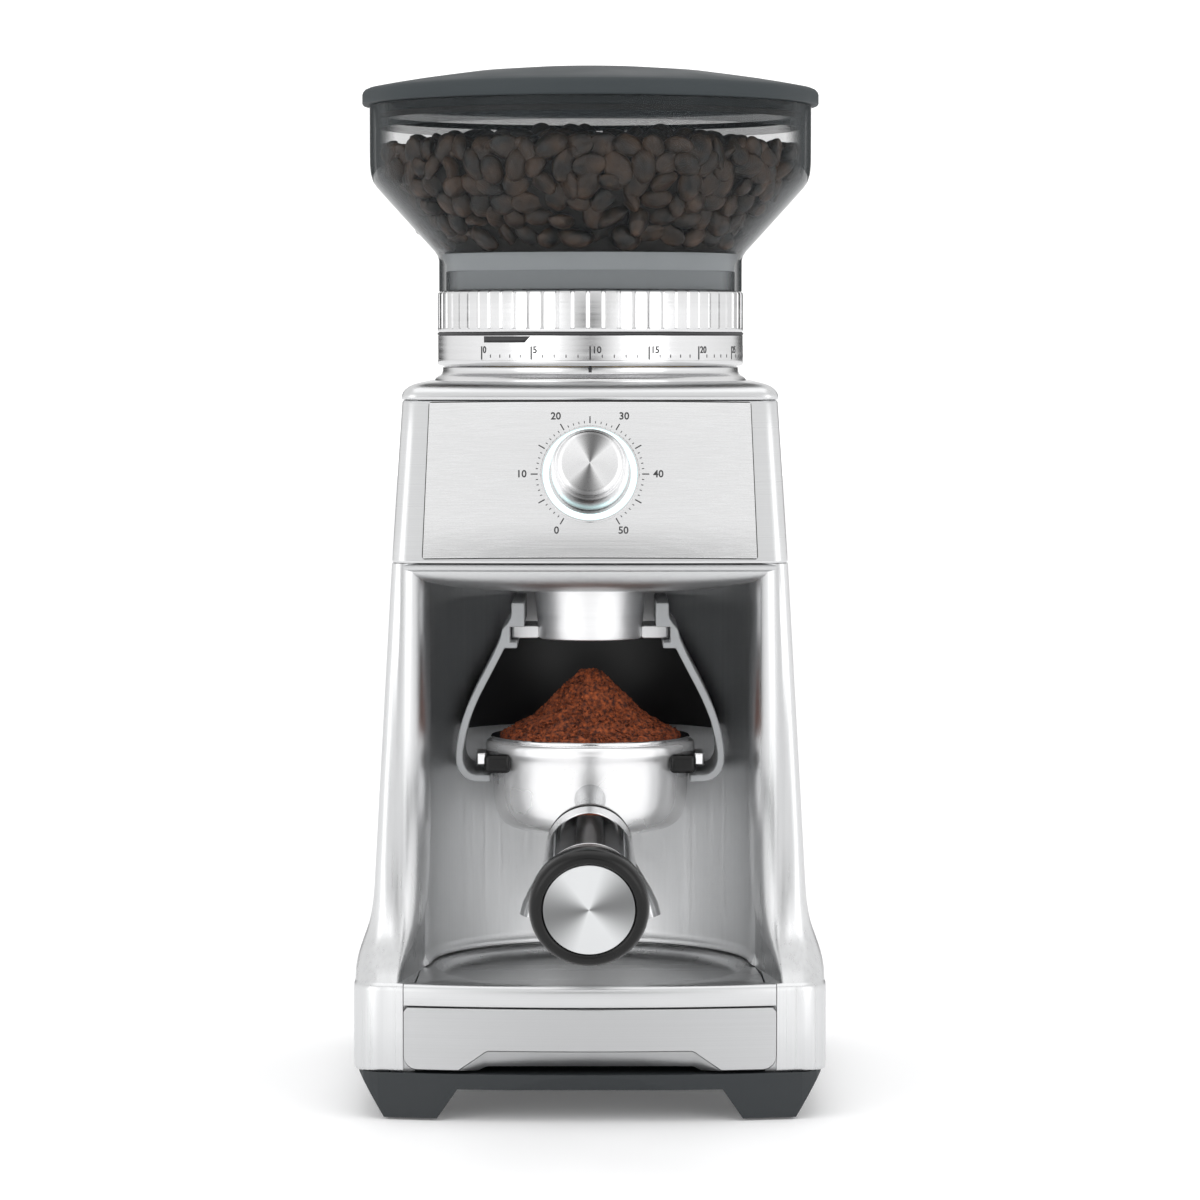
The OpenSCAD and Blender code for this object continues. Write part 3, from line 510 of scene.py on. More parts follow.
def half_ring(half, front, radius, crown, inner, width, depth, z, pocket):
    """Right half of the shell's outline, from the middle of its back round to the back of its recess.

    pocket cuts the front and the recess for the front plate and the tray instead of for the liner.
    """
    def face(x):
        return front + bow(x, crown)
    corner_y = front + crown + radius
    points = line((0, BACK), (half - BACK_CORNER, BACK), 4)
    points += arc(half - BACK_CORNER, BACK - BACK_CORNER, BACK_CORNER, 90, 0, 10)[1:]
    points += line((half, BACK - BACK_CORNER), (half, corner_y), 8, True)
    points += arc(half - radius, corner_y, radius, 0, -90, 8)[1:]
    end = PLATE_HALF + 0.3 if pocket else min(inner + width, half - radius - 0.3)
    points += [(x, face(x)) for x, _ in line((half - radius, 0), (end, 0), 3, True)]
    if pocket:
        side = RECESS_R + 3.2
        step = BASE_FRONT + CROWN + 3.2
        points += [(end, face(end) + 0.15 * k) for k in range(1, 17)]
        points += [(end, step), (side, step), (side, step + 2)]
        points += line((side, step + 2), (side, RECESS_Y), 7, True)
    else:
        for k in range(1, 17):
            angle = math.pi / 2 * k / 16
            x = inner + (end - inner) * (1 - math.sin(angle))
            points.append((x, face(end) + depth * (1 - math.cos(angle))))
        deep = LINER + 0.15
        side = RECESS_R + deep
        start = (wall_x(WALL_CUT + 2) + deep, WALL_CUT + 2)
        points += [(wall_x(WALL_CUT), WALL_CUT), (wall_x(WALL_CUT) + deep, WALL_CUT), start]
        points += line(start, (side, RECESS_Y), 7, True)
    points += arc(0, RECESS_Y, side, 0, 90, 18)[1:]
    return [(x, y, z) for x, y in points]


def full_ring(row, z, pocket=False):
    return mirrored(half_ring(*row, z, pocket))


def build_body_shell():
    edge = [(FOOT_TOP, 1.0), (FOOT_TOP + 0.6, 0.4), (FOOT_TOP + 1.6, 0), (30, 0), (BASE_TOP - 2.4, 0),
            (BASE_TOP - 1.2, 0.15), (BASE_TOP - 0.5, 0.6)]
    rings = []
    for z, tuck in edge:
        row = (BASE_HALF - tuck * 0.4, BASE_FRONT + tuck, BASE_CORNER, CROWN, 0, 0, 0)
        rings.append(full_ring(row, z, pocket=True))
    rings.append(full_ring(SWEEP[0][1:], BASE_TOP, pocket=True))
    heights = [BASE_TOP + 0.01, 46.8, 48, 49.5, 51, 53, 55, 57.5, 60, 62.5, 65, 68, 72, 77, 85, 95, 110, 130,
               150, 170, HEAD_Z - 1, HEAD_Z - 0.15]
    rings += [full_ring(smooth_row(SWEEP, z)[1:], z) for z in heights]
    piece(loft("shell_body", rings, sharp=50), "root", "brushed_shell", ["body_shell", "recess_tub"])


def build_vent_backing():
    """Dark plate behind the slots of the rear cover, painted shade that stands in for the dark inside of the
    body.
    """
    outline = [(-26, 116), (26, 116), (26, 161), (-26, 161)]
    shade_plate = prism_y("vent_painted_shade", outline, BACK - 0.5, BACK + 0.15)
    piece(shade_plate, "root", "black_inner")


def recess_outline(offset, start):
    """Outline of the recess wall seen from above, from the right front round to the left front."""
    right = line((wall_x(start) + offset, start), (RECESS_R + offset, RECESS_Y), 8)
    back = arc(0, RECESS_Y, RECESS_R + offset, 0, 180, 48)[1:-1]
    return right + back + [(-x, y) for x, y in right[::-1]]


def build_recess_liner():
    """Brushed sheet round the recess, turned in along its bottom edge."""
    low, high = BASE_TOP + 0.25, 182
    profile = [(1.35, low + 1), (1.2, low), (0.2, low), (-1.0, low + 0.5), (-1.2, low + 1.3),
               (-0.7, low + 2.2), (-0.2, low + 3.2), (0, low + 4.6), (0, 80), (0, 120), (0, 150),
               (0, high), (1.35, high)]
    outlines = [recess_outline(offset, WALL_CUT + 0.1) for offset, _ in profile]
    sections = [[(*point, z) for point, (_, z) in zip(points, profile)] for points in zip(*outlines)]
    piece(loft("liner", sections, sharp=50), "root", "brushed_liner", ["recess_liner"])


def build_recess_ceiling():
    """Lip under the head, and the surface that rolls back under it to the recess."""
    half, columns = 63.2, 81
    lip_depth, lip_drop = 1.3, 2.85
    roll_depth, roll_drop = 15.0, 7.6
    across = [half * math.sin(math.pi / 2 * (2 * k / (columns - 1) - 1)) for k in range(columns)]
    edge = [SWEEP[-1][2] + bow(x, PANEL_CROWN) for x in across]
    lip = [(0.5, 0.4), (0.12, 0.7), (0, 1.2), (0.1, 2.2), (0.6, 2.7), (lip_depth, lip_drop)]
    rows = [[(x, front + y, HEAD_Z - drop) for x, front in zip(across, edge)] for y, drop in lip]
    for step in range(1, 13):
        phi = math.pi / 2 * step / 12
        row = []
        for x, front in zip(across, edge):
            arch = max(1 - abs(x / half) ** 3.2, 0.0) ** 0.62
            y = front + lip_depth + roll_depth * arch * (1 - math.cos(phi))
            row.append((x, y, HEAD_Z - lip_drop - roll_drop * arch * math.sin(phi)))
        rows.append(row)
    reach = RECESS_R + 1.2
    last = rows[-1]
    for share in (0.35, 0.7, 1.0):
        row = []
        for x, y, z in last:
            back = RECESS_Y + math.sqrt(max(reach**2 - min(abs(x), reach) ** 2, 0.0))
            row.append((x, y + (max(back, y) - y) * share, z))
        rows.append(row)
    rows.append([(x, y, HEAD_Z - 0.4) for x, y, _ in rows[-1]])
    ceiling = make("ceiling", flat(rows), grid_faces(len(rows), columns, wrap_rows=True), sharp=60)
    piece(ceiling, "root", "brushed_shell", material=CEILING_STEEL)


def build_tray_shelf():
    outline = recess_outline(2.9, BASE_FRONT + CROWN + 6)
    rings = [[(x, y, z) for x, y in outline] for z in (PLATE_TOP - 1.5, PLATE_TOP - 0.1)]
    piece(loft("tray_shelf", rings), "root", "brushed_shell", material=TRAY_STEEL)


PLATE_LOW = FOOT_TOP + 1
NOTCH_TOP = 23.7


def plate_edges(x):
    """Lower and upper edge of the front plate at a distance x from its middle."""
    corner, knee = 4.5, NOTCH_TOP - 1.1
    round_from = PLATE_HALF - corner
    bottom = PLATE_LOW
    if x <= 34.2:
        bottom = NOTCH_TOP
    elif x <= 36.2:
        bottom = NOTCH_TOP - 1.1 * ((x - 34.2) / 2.0) ** 1.5
    elif x <= 44.2:
        bottom = max(knee - (x - 36.2) * (knee - PLATE_LOW) / 8.0, PLATE_LOW)
    elif x > round_from:
        bottom = PLATE_LOW + corner - math.sqrt(max(corner**2 - (x - round_from) ** 2, 0.0))
    return bottom, PLATE_TOP - 0.1 - max(0.0, x - PLATE_HALF + 1.2) ** 2 * 0.8


def build_front_plate():
    """Crowned plate with rounded lower corners and a sloped notch over the arch of the base."""
    rim, thick, corner = 0.35, 2.0, 4.5
    stops = {0, 12, 15, 24, 30, 34.2, 35.3, 36.2, 43.2, 44.2, 45, 50, PLATE_HALF - 1.2, PLATE_HALF - 0.35}
    stops |= {x for x, _ in arc(PLATE_HALF - corner, 0, corner, -90, 0, 6)} | set(range(6, 61, 6))
    columns = sorted({round(sign * x, 6) for x in stops for sign in (-1, 1)})
    sections = []
    for x in columns:
        bottom, roof = plate_edges(abs(x))
        y = front_at(x)
        sections.append([(x, y + thick, bottom), (x, y + rim, bottom), (x, y, bottom + rim),
                         (x, y, roof - rim), (x, y + rim, roof), (x, y + thick, roof)])
    plate = loft("plate_front", sections, sharp=30)
    piece(plate, "root", "brushed_shell", ["front_plate"], material=PLATE_STEEL)
    near = [(34.4, NOTCH_TOP), (36.0, NOTCH_TOP - 0.9), (44.0, PLATE_LOW)]
    far = [(34.0, PLATE_LOW + 1.4), (35.0, PLATE_LOW + 1.2), (37.5, PLATE_LOW)]
    rows = []
    for right, inset, lift in ((near, 0.5, 0), (far, 2.8, 0), (near, 7.5, 2.5)):
        outline = [(-x, z) for x, z in right[::-1]] + right
        rows.append([(x, front_at(x) + inset, z + lift) for x, z in outline])
    notch = make("plate_notch", flat(rows), grid_faces(3, 6, wrap_rows=True), sharp=20)
    piece(notch, "root", "brushed_shell", material=PLATE_STEEL)


# ---------------------------------------------------------------- head, control panel and top cover
def head_half(z):
    return 64 + 3.1 * (COVER_Z - z) / (COVER_Z - HEAD_Z)


def head_front(z):
    return KNOB.y + (z - KNOB.z) * PANEL_OUT.z / -PANEL_OUT.y


def plan_ring(half, front, back, r_front, z):
    """Outline of the head or its cover at height z, with a crowned front."""
    corner_y = front + bow(half - r_front, PANEL_CROWN) + r_front
    right = line((0, back), (half - BACK_CORNER, back), 4)
    right += arc(half - BACK_CORNER, back - BACK_CORNER, BACK_CORNER, 90, 0, 12)[1:]
    right += line((half, back - BACK_CORNER), (half, corner_y), 6, True)
    right += arc(half - r_front, corner_y, r_front, 0, -90, 10)[1:]
    right += [(x, front + bow(x, PANEL_CROWN)) for x, _ in line((half - r_front, 0), (0, 0), 20, True)]
    return [(x, y, z) for x, y in mirrored(right)]


def build_head():
    rings = []
    for z, tuck in ((HEAD_Z + 0.15, 0.4), (HEAD_Z + 0.6, 0.08), (HEAD_Z + 1.2, 0), (200, 0), (215, 0),
                    (230, 0), (COVER_Z - 1.0, 0), (COVER_Z - 0.5, 0.08), (COVER_Z - 0.1, 0.4)):
        back = HEAD_BACK - 3 * (z - HEAD_Z) / (COVER_Z - HEAD_Z)
        rings.append(plan_ring(head_half(z) - tuck, head_front(z) + tuck, back - tuck, 5, z))
    head = bored("head", rings, NECK_BORE, sharp=50)
    piece(head, "root", "brushed_shell", ["head_shell"], material=HEAD_STEEL)


def panel_point(x, up, out=0.0):
    """Point on the control panel: x to the right and up its slope from the knob's centre."""
    return KNOB + Vector((x, 0, 0)) + PANEL_UP * up + PANEL_OUT * (out - bow(x, PANEL_CROWN))


def panel_outline(grow):
    """Outline of the control panel, grown by an amount: how far across, and how far up its slope."""
    corner = 0.8 + max(grow, 0)
    low, high = PANEL_LOW - grow, PANEL_HIGH + grow
    inner_low, inner_high = PANEL_HALF_LOW + grow - corner, PANEL_HALF_HIGH + grow - corner
    right = line((0, low), (inner_low, low), 12)
    right += arc(inner_low, low + corner, corner, -90, 0, 5)[1:]
    right += arc(inner_high, high - corner, corner, 0, 90, 5)
    right += line((inner_high, high), (0, high), 12, True)
    return mirrored(right)


def build_panel():
    """Crowned plate, as strips from its lower to its upper edge so that the curve stays smooth."""
    columns, face = 41, 0.36
    edge = [(0.0, -0.6), (0.0, 0.1), (0.12, 0.28), (0.35, face)]
    height = PANEL_HIGH - PANEL_LOW
    strip = [(PANEL_LOW + inset, out) for inset, out in edge]
    strip += [(PANEL_LOW + height * share, face) for share in (0.25, 0.5, 0.75)]
    strip += [(PANEL_HIGH - inset, out) for inset, out in edge[::-1]]
    sections = []
    for k in range(columns):
        u = 2 * k / (columns - 1) - 1
        points = []
        for up, out in strip:
            half = PANEL_HALF_LOW + (PANEL_HALF_HIGH - PANEL_HALF_LOW) * (up - PANEL_LOW) / height
            points.append(panel_point(half * u, up, out))
        sections.append(points)
    piece(loft("panel", sections, sharp=30), "root", "brushed_panel", ["control_panel"])
    rings = []
    for grow, out in ((0.3, -0.5), (0.3, 0.16), (-0.05, 0.16), (-0.05, -0.5)):
        rings.append([panel_point(x, up, out) for x, up in panel_outline(grow)])
    piece(band("panel_seam", rings), "root", "black_inner")


def build_top_cover():
    half, front = head_half(COVER_Z) + 0.3, head_front(COVER_Z) - 0.5
    rings = []
    for rise, tuck in ((0.1, 0.3), (0.5, 0), (1.5, 0.05), (2.6, 0.45), (3.6, 1.2), (4.5, 2.3), (5.2, 3.6),
                       (5.7, 5.2), (NECK_Z - COVER_Z, 7.2)):
        rings.append(plan_ring(half - tuck, front + tuck, COVER_BACK - tuck, 5.5, COVER_Z + rise))
    cover = bored("cover_top", rings, NECK_BORE, sharp=50)
    piece(cover, "root", "brushed_shell", ["top_cover"], material=TRAY_STEEL)


# ---------------------------------------------------------------- collar, scale and grip
def text_points(body, size):
    """Flat mesh of a number, centred, in millimetres."""
    curve = bpy.data.curves.new("digits", "FONT")
    curve.body = body
    curve.size = size
    curve.align_x = "CENTER"
    curve.align_y = "CENTER"
    curve.resolution_u = 3
    curve.offset = 0.02 * size
    holder = bpy.data.objects.new("digits", curve)
    bpy.context.collection.objects.link(holder)
    bpy.context.view_layer.update()
    mesh = bpy.data.meshes.new_from_object(holder.evaluated_get(bpy.context.evaluated_depsgraph_get()))
    verts = [(v.co.x, v.co.y) for v in mesh.vertices]
    faces = [tuple(p.vertices) for p in mesh.polygons]
    bpy.data.objects.remove(holder, do_unlink=True)
    bpy.data.meshes.remove(mesh)
    return verts, faces


def bar_points(x, y, width, height, angle=0.0):
    """Flat rectangle about (x, y), turned by an angle."""
    c, s = math.cos(angle), math.sin(angle)
    corners = [(width * i, height * j) for i, j in ((-0.5, -0.5), (0.5, -0.5), (0.5, 0.5), (-0.5, 0.5))]
    return [(x + px * c - py * s, y + px * s + py * c) for px, py in corners], [(0, 1, 2, 3)]


def marks(name, items, place, body):
    """One piece from flat (verts, faces) items, each point put on a surface by place."""
    verts, faces = [], []
    for item_verts, item_faces in items:
        start = len(verts)
        verts += [place(x, y) for x, y in item_verts]
        faces += [tuple(start + i for i in face) for face in item_faces]
    obj = make(name, verts, faces, fix_normals=False)
    thick = obj.modifiers.new("thick", "SOLIDIFY")
    thick.thickness = 0.06 * MM
    thick.offset = 0.0
    piece(obj, body, "black_inner", material=INK)


def build_panel_marks():
    items = []
    for number in range(0, 51, 10):
        a = math.radians(240 - 6 * number)
        verts, faces = text_points(str(number), 3.5)
        reach = 22.6 if number in (0, 50) else 23.2
        items.append(([(x + reach * math.cos(a), y + reach * math.sin(a)) for x, y in verts], faces))
    for step in range(0, 51):
        a = math.radians(240 - 6 * step)
        if step % 5 == 0:
            items.append(bar_points(18.9 * math.cos(a), 18.9 * math.sin(a), 2.4, 0.4, a))
        else:
            items.append(bar_points(18.1 * math.cos(a), 18.1 * math.sin(a), 0.75, 0.28, a))
    marks("panel_marks", items, lambda x, y: panel_point(x, y, 0.4), "root")


def build_collar():
    """Neck ring, scale ring with its line and numbers, grip ring, and the index mark on the neck."""
    neck_top = box_mm("neck_ring")[1].z
    scale_low, scale_high = box_mm("scale_ring")
    r, low, high = scale_high.x, scale_low.z, scale_high.z
    profile = [(NECK_BORE, NECK_Z), (NECK_BORE, neck_top), (52.3, neck_top), (52.8, neck_top - 0.4),
               (52.8, neck_top - 1.6), (53.2, neck_top - 2.4), (54.2, neck_top - 3.2),
               (55.3, neck_top - 4.1), (NECK_R, NECK_Z + 0.3), (NECK_R, NECK_Z)]
    piece(revolve("neck", profile, BURR_AXIS, closed=True), "root", "collar_metal", ["neck_ring"])
    profile = [(COLLAR_BORE, low + 3.7), (38, low + 3.7), (38, low), (r - 1.2, low), (r - 0.4, low + 0.2),
               (r, low + 0.8), (r, low + 2.0), (r - 0.12, low + 2.1), (r - 0.12, high - 0.9),
               (r - 0.5, high - 0.5), (r - 0.9, high), (COLLAR_BORE, high)]
    scale_ring = revolve("scale", profile, BURR_AXIS, segments=192, closed=True)
    piece(scale_ring, "grind_collar", "collar_metal", ["scale_ring"])
    profile = [(r - 1.0, high - 0.55), (r + 0.03, high - 0.55), (r + 0.03, high + 0.15),
               (r - 1.0, high + 0.15)]
    line_ring = revolve("scale_line", profile, BURR_AXIS, segments=192, closed=True)
    piece(line_ring, "grind_collar", "black_inner", material=INK)
    build_grip()
    span = joints["collar_turn"]["range_deg"]
    unit = math.radians((span[1] - span[0]) / 60)
    rest = math.radians(span[1])
    surface = r - 0.07

    def place(x, y):
        a = x / surface
        return (surface * math.sin(a), BURR_Y - surface * math.cos(a), low + y)
    items = []
    for setting in range(0, 61):
        a = (setting * unit - rest) * surface
        if setting % 5 == 0:
            items.append(bar_points(a, 4.6, 0.5, 4.6))
            verts, faces = text_points(str(setting), 3.3)
            items.append(([(x + a + 0.5 + 0.9 * len(str(setting)), y + 5.6) for x, y in verts], faces))
        else:
            items.append(bar_points(a, 3.5, 0.3, 1.1))
    left, right = -rest * surface + 1.2, (-rest + 4.4 * unit) * surface
    flag = line((left, 8.2), (right, 8.2), 12) + line((right + 2.2, 10.4), (left, 10.4), 12)
    items.append((flag, [(k, k + 1, 24 - k, 25 - k) for k in range(12)]))
    marks("scale_marks", items, place, "grind_collar")

    def on_neck(x, y):
        return (x, BURR_Y - 52.86 - 0.02 * abs(x), neck_top - 0.3 - y)
    index = [([(-0.55, 0), (0.55, 0), (0.55, 2.2), (-0.55, 2.2)], [(0, 1, 2, 3)]),
             ([(-0.8, 0.3), (0.8, 0.3), (0, -0.9)], [(0, 1, 2)])]
    marks("index_mark", index, on_neck, "root")


def build_grip():
    """Grip ring with flat ribs between narrow flutes."""
    box_low, box_high = box_mm("grip_ring")
    low, high, r = box_low.z, box_high.z, box_high.x
    flutes = 64
    width = 2 * math.pi / flutes
    flute = [(0.0, 0.0), (0.2, 0.0), (0.4, 0.0), (0.6, 0.0), (0.72, 0.0), (0.78, 0.45),
             (0.86, 0.62), (0.94, 0.45)]
    around = [((k + part) * width, depth) for k in range(flutes) for part, depth in flute]

    def ring(z, radius, cut):
        """Ring at height z; cut is the share of each flute's depth that is taken off its radius."""
        radii = [(a, radius - cut * depth) for a, depth in around]
        return [(r * math.cos(a), BURR_Y + r * math.sin(a), z) for a, r in radii]
    levels = [(low, 0.6, 0), (low + 0.35, 0.25, 0), (low + 0.7, 0.1, 0), (low + 1.5, 0, 0), (low + 1.8, 0, 1),
              (high - 1.2, 0, 1), (high - 0.5, 0.25, 1), (high, 0.9, 1)]
    rings = [ring(z, r - inset, cut) for z, inset, cut in levels]
    rings += [ring(z, COLLAR_BORE, 0) for z in (high, low)]
    piece(band("grip", rings, sharp=30), "grind_collar", "collar_metal", ["grip_ring"])


# ---------------------------------------------------------------- hopper, beans and lid
HOPPER_OUT = [(54.1, 279.7), (54.1, 286), (54.1, 290.6), (54.5, 292.2), (55.6, 293.9), (60, 298.7),
              (66, 305.3), (72, 311.9), (76.2, 316.6), (77.5, 318.6), (78.3, 321.2), (78.65, 324.5),
              (78.7, 330), (78.7, 338), (78.7, 345.2)]
HOPPER_FLOOR = 293.0
HOPPER_WALL = 2.2


def hopper_inner(z):
    """Inner radius of the hopper at z."""
    for (r0, z0), (r1, z1) in zip(HOPPER_OUT, HOPPER_OUT[1:]):
        if z0 <= z <= z1:
            return r0 + (r1 - r0) * (z - z0) / (z1 - z0) - HOPPER_WALL - 0.35
    return HOPPER_OUT[-1][0] - HOPPER_WALL - 0.35


def build_hopper():
    inner = [(r - HOPPER_WALL, z + 0.4) for r, z in HOPPER_OUT if z > HOPPER_FLOOR + 4][::-1]
    profile = HOPPER_OUT + [(78.2, 345.4), (77.0, 345.4)] + inner[1:]
    profile += [(52, HOPPER_FLOOR), (24.5, HOPPER_FLOOR), (22, HOPPER_FLOOR - 1.5), (22, 257), (24.5, 257),
                (24.5, 288), (50, 288), (51.6, 286.5), (51.6, 279.7)]
    hopper = revolve("hopper_bowl", profile, BURR_AXIS, segments=160, closed=True, sharp=40)
    piece(hopper, "hopper", "smoke_clear", ["hopper"])
    # The foot's light grey is painted light: light coming through the smoked plastic.
    foot = revolve("hopper_foot", [(50.8, 280.1), (51.4, 280.1), (51.4, 289.2), (52.8, 291.6), (52.8, 292.8),
                                   (50.8, 292.8)], BURR_AXIS, closed=True)
    piece(foot, "hopper", "smoke_clear", material=FOOT_SMOKE_PAINTED_LIGHT)


def bean_shape():
    """Half-flat bean with its groove, about 12 mm long."""
    rows, columns = 8, 14
    verts = []
    for i in range(rows):
        t = math.pi * (i + 0.5) / rows
        for j in range(columns):
            a = 2 * math.pi * j / columns
            x = 5.9 * math.cos(t)
            y = 4.3 * math.sin(t) * math.cos(a)
            z = 3.7 * math.sin(t) * math.sin(a)
            if z < 0:
                z *= 0.55
                z += 1.4 * math.exp(-(y / 0.9) ** 2) * math.sin(t)
            verts.append(Vector((x, y, z)))
    return verts, ring_faces(rows, columns, caps=True)


def build_beans():
    shape, shape_faces = bean_shape()
    verts, faces = [], []

    def add(place, outward, flat_chance=0.45):
        spin = Matrix.Rotation(rng.uniform(0, 2 * math.pi), 3, "Z")
        tilt = Matrix.Rotation(rng.gauss(0, 0.42), 3, "X") @ Matrix.Rotation(rng.gauss(0, 0.42), 3, "Y")
        flip = Matrix.Rotation(math.pi, 3, "X") if rng.random() < flat_chance else Matrix.Identity(3)
        face_out = outward.to_track_quat("Z", "Y").to_matrix()
        turn = face_out @ tilt @ spin @ flip
        size = rng.uniform(0.9, 1.12)
        start = len(verts)
        verts.extend(place + turn @ (v * size) for v in shape)
        faces.extend(tuple(start + i for i in face) for face in shape_faces)

    z = HOPPER_FLOOR + 5.0
    row = 0
    while z < 330:
        r = hopper_inner(z) - 4.1
        slope = (hopper_inner(min(z + 3, 340)) - hopper_inner(z)) / 3
        count = int(2 * math.pi * r / 8.6)
        for k in range(count):
            a = 2 * math.pi * (k + 0.5 * (row % 2) + rng.uniform(-0.2, 0.2)) / count
            outward = Vector((math.cos(a), math.sin(a), -slope)).normalized()
            place = Vector((r * math.cos(a), BURR_Y + r * math.sin(a), z + rng.uniform(-1.2, 1.2)))
            add(place - outward * rng.uniform(0, 1.6), outward)
        z += 5.9
        row += 1
    r = 4.0
    while r < 72:
        count = max(int(2 * math.pi * r / 9.2), 4)
        for k in range(count):
            a = 2 * math.pi * (k + rng.uniform(-0.3, 0.3)) / count
            lift = 1.6 * noise.noise(Vector((r * math.cos(a) / 17, r * math.sin(a) / 17, 3.7)))
            top = 333.4 - 6.0 * (r / 72) ** 2.5 + lift
            place = Vector((r * math.cos(a), BURR_Y + r * math.sin(a), top + rng.uniform(-2.0, 1.6)))
            add(place, Vector((rng.gauss(0, 0.3), rng.gauss(0, 0.3), 1)).normalized())
        r += 8.0
    beans = make("beans", verts, faces, sharp=70, fix_normals=False)
    piece(beans, "hopper", "beans", ["coffee_beans"])
    core = [(0.02, HOPPER_FLOOR + 0.1), (hopper_inner(HOPPER_FLOOR + 1) - 1.2, HOPPER_FLOOR + 0.1)]
    core += [(hopper_inner(z) - 5.4, z) for z in (298, 302, 307, 312, 318, 325, 327)]
    core += [(58, 328.6), (30, 330.6), (0.02, 331)]
    bean_core = revolve("bean_core", core, BURR_AXIS, segments=64)
    piece(bean_core, "hopper", "beans", material=BROWN_CORE)


def build_lid():
    low, high = box_mm("hopper_lid")
    rim = HOPPER_OUT[-1][1] + 0.25
    r = high.x
    profile = [(73.3, rim + 0.4), (73.3, rim + 1.6), (60, rim + 3.2), (40, rim + 5.4),
               (20, rim + 8), (0.02, rim + 8.6), (0.02, high.z), (14, high.z - 0.08), (27.3, high.z - 0.3),
               (44.2, high.z - 1.7), (54.8, high.z - 3.2), (64.2, high.z - 4.6), (72.4, high.z - 6.0),
               (79.2, high.z - 7.3), (80.3, high.z - 7.8), (80.9, high.z - 8.5), (r, high.z - 9.4),
               (r, rim + 0.7), (r - 0.3, rim + 0.2), (r - 0.8, rim)]
    lid = revolve("lid", profile, BURR_AXIS, segments=160, closed=True, sharp=45)
    profile = [(75.3, rim + 0.3), (75.3, 339.2), (74.9, 338.6), (75.1, low.z), (73.7, low.z),
               (73.6, 338.6), (73.9, 340), (73.9, rim + 0.3)]
    skirt = revolve("lid_skirt", profile, BURR_AXIS, closed=True)
    piece(skirt, "hopper_lid", "smoke_lid", material=SKIRT_SMOKE)
    piece(lid, "hopper_lid", "smoke_lid", ["hopper_lid"])


# ---------------------------------------------------------------- timer knob
def turned(name, profile, origin, direction, segments=96, sharp=SHARP):
    """Revolved piece with its own axis: local Z points along direction from origin."""
    obj = revolve(name, profile, segments=segments, sharp=sharp, closed=True)
    turn = Vector(direction).to_track_quat("Z", "Y").to_matrix().to_4x4()
    obj.matrix_world = Matrix.Translation(Vector(origin) * MM) @ turn
    return obj


def build_knob():
    side = [(0.2, 2.2), (12.6, 2.2), (13.0, 2.6), (13.0, 11.6), (12.85, 12.4), (12.4, 13.2), (12.2, 13.9),
            (11.9, 14.3), (11.2, 14.45), (0.2, 14.45)]
    knob = turned("knob", side, KNOB, PANEL_OUT, sharp=30)
    piece(knob, "timer_knob", "collar_metal", ["timer_knob"], material=SPUN_PAINTED_SHEEN)
    cap = [(0.05, 14.3), (11.3, 14.3), (11.3, 16.2), (11.0, 16.8), (10.3, 17.3), (9.2, 17.45), (0.05, 17.45)]
    disc = turned("knob_face", cap, KNOB, PANEL_OUT, sharp=30)
    piece(disc, "timer_knob", "collar_metal", material=SPUN_PAINTED_SHEEN)
    ring = turned("glow_ring", [(13.9, 0), (15.9, 0), (15.9, 0.9), (15.5, 1.35), (14.7, 1.5), (14.1, 1.3)],
                  KNOB, PANEL_OUT)
    piece(ring, "root", "glow", ["light_ring"])
    bezel = turned("knob_bezel", [(15.9, -0.2), (16.9, -0.2), (16.9, 0.5), (16.6, 0.85), (16.1, 0.85)],
                   KNOB, PANEL_OUT)
    piece(bezel, "root", "collar_metal")


# ---------------------------------------------------------------- outlet, cradle and tray
def build_chute():
    low = box_mm("outlet_chute")[0].z
    profile = [(15, low + 0.6), (15.5, low), (17.4, low), (18.0, low + 0.3), (18.2, low + 0.9),
               (18.2, low + 4.5), (18.3, low + 6), (18.7, low + 11), (19.1, low + 16),
               (19.3, low + 18), (19.3, low + 24.5), (15, low + 24.5)]
    chute = revolve("chute", profile, OUTLET_AXIS, closed=True)
    piece(chute, "root", "brushed_liner", ["outlet_chute"], material=CHUTE_STEEL)


def cradle_outline():
    """Right half of the cradle: its outer line down to the ear, and back up its inner line."""
    outer = [(30.2, 163.2), (30.9, 160.0), (33.3, 154.6), (36.2, 149), (38.4, 144.9), (40.4, 140.8),
             (42.3, 136.6), (43.8, 132.5), (45.0, 128.2), (45.8, 123.8), (46.2, 119.4), (46.0, 117.0),
             (45.3, 114.8), (44.1, 113.0), (42.2, 111.6), (39.8, 110.9), (34.4, 110.8)]
    top = [(27.0, 172.4), (27.0, 168.5), (27.3, 167.0), (28.3, 165.4)]
    inner = [(34.4, 113.2), (39.3, 113.2), (40.9, 113.6), (42.3, 114.7), (43.3, 116.4), (43.8, 118.4),
             (43.8, 121.0), (43.2, 124.8), (42.4, 128.4), (41.3, 132.2), (39.8, 136.1), (38.0, 140.2),
             (36.0, 144.1), (33.9, 148.1), (31.6, 152.5), (29.4, 156.8)]
    foot = [(25, 156.8), (25, 158.8), (27.6, 158.8), (27.6, 164.1), (22.6, 164.1), (22.6, 172.4)]
    return top + outer + inner + foot


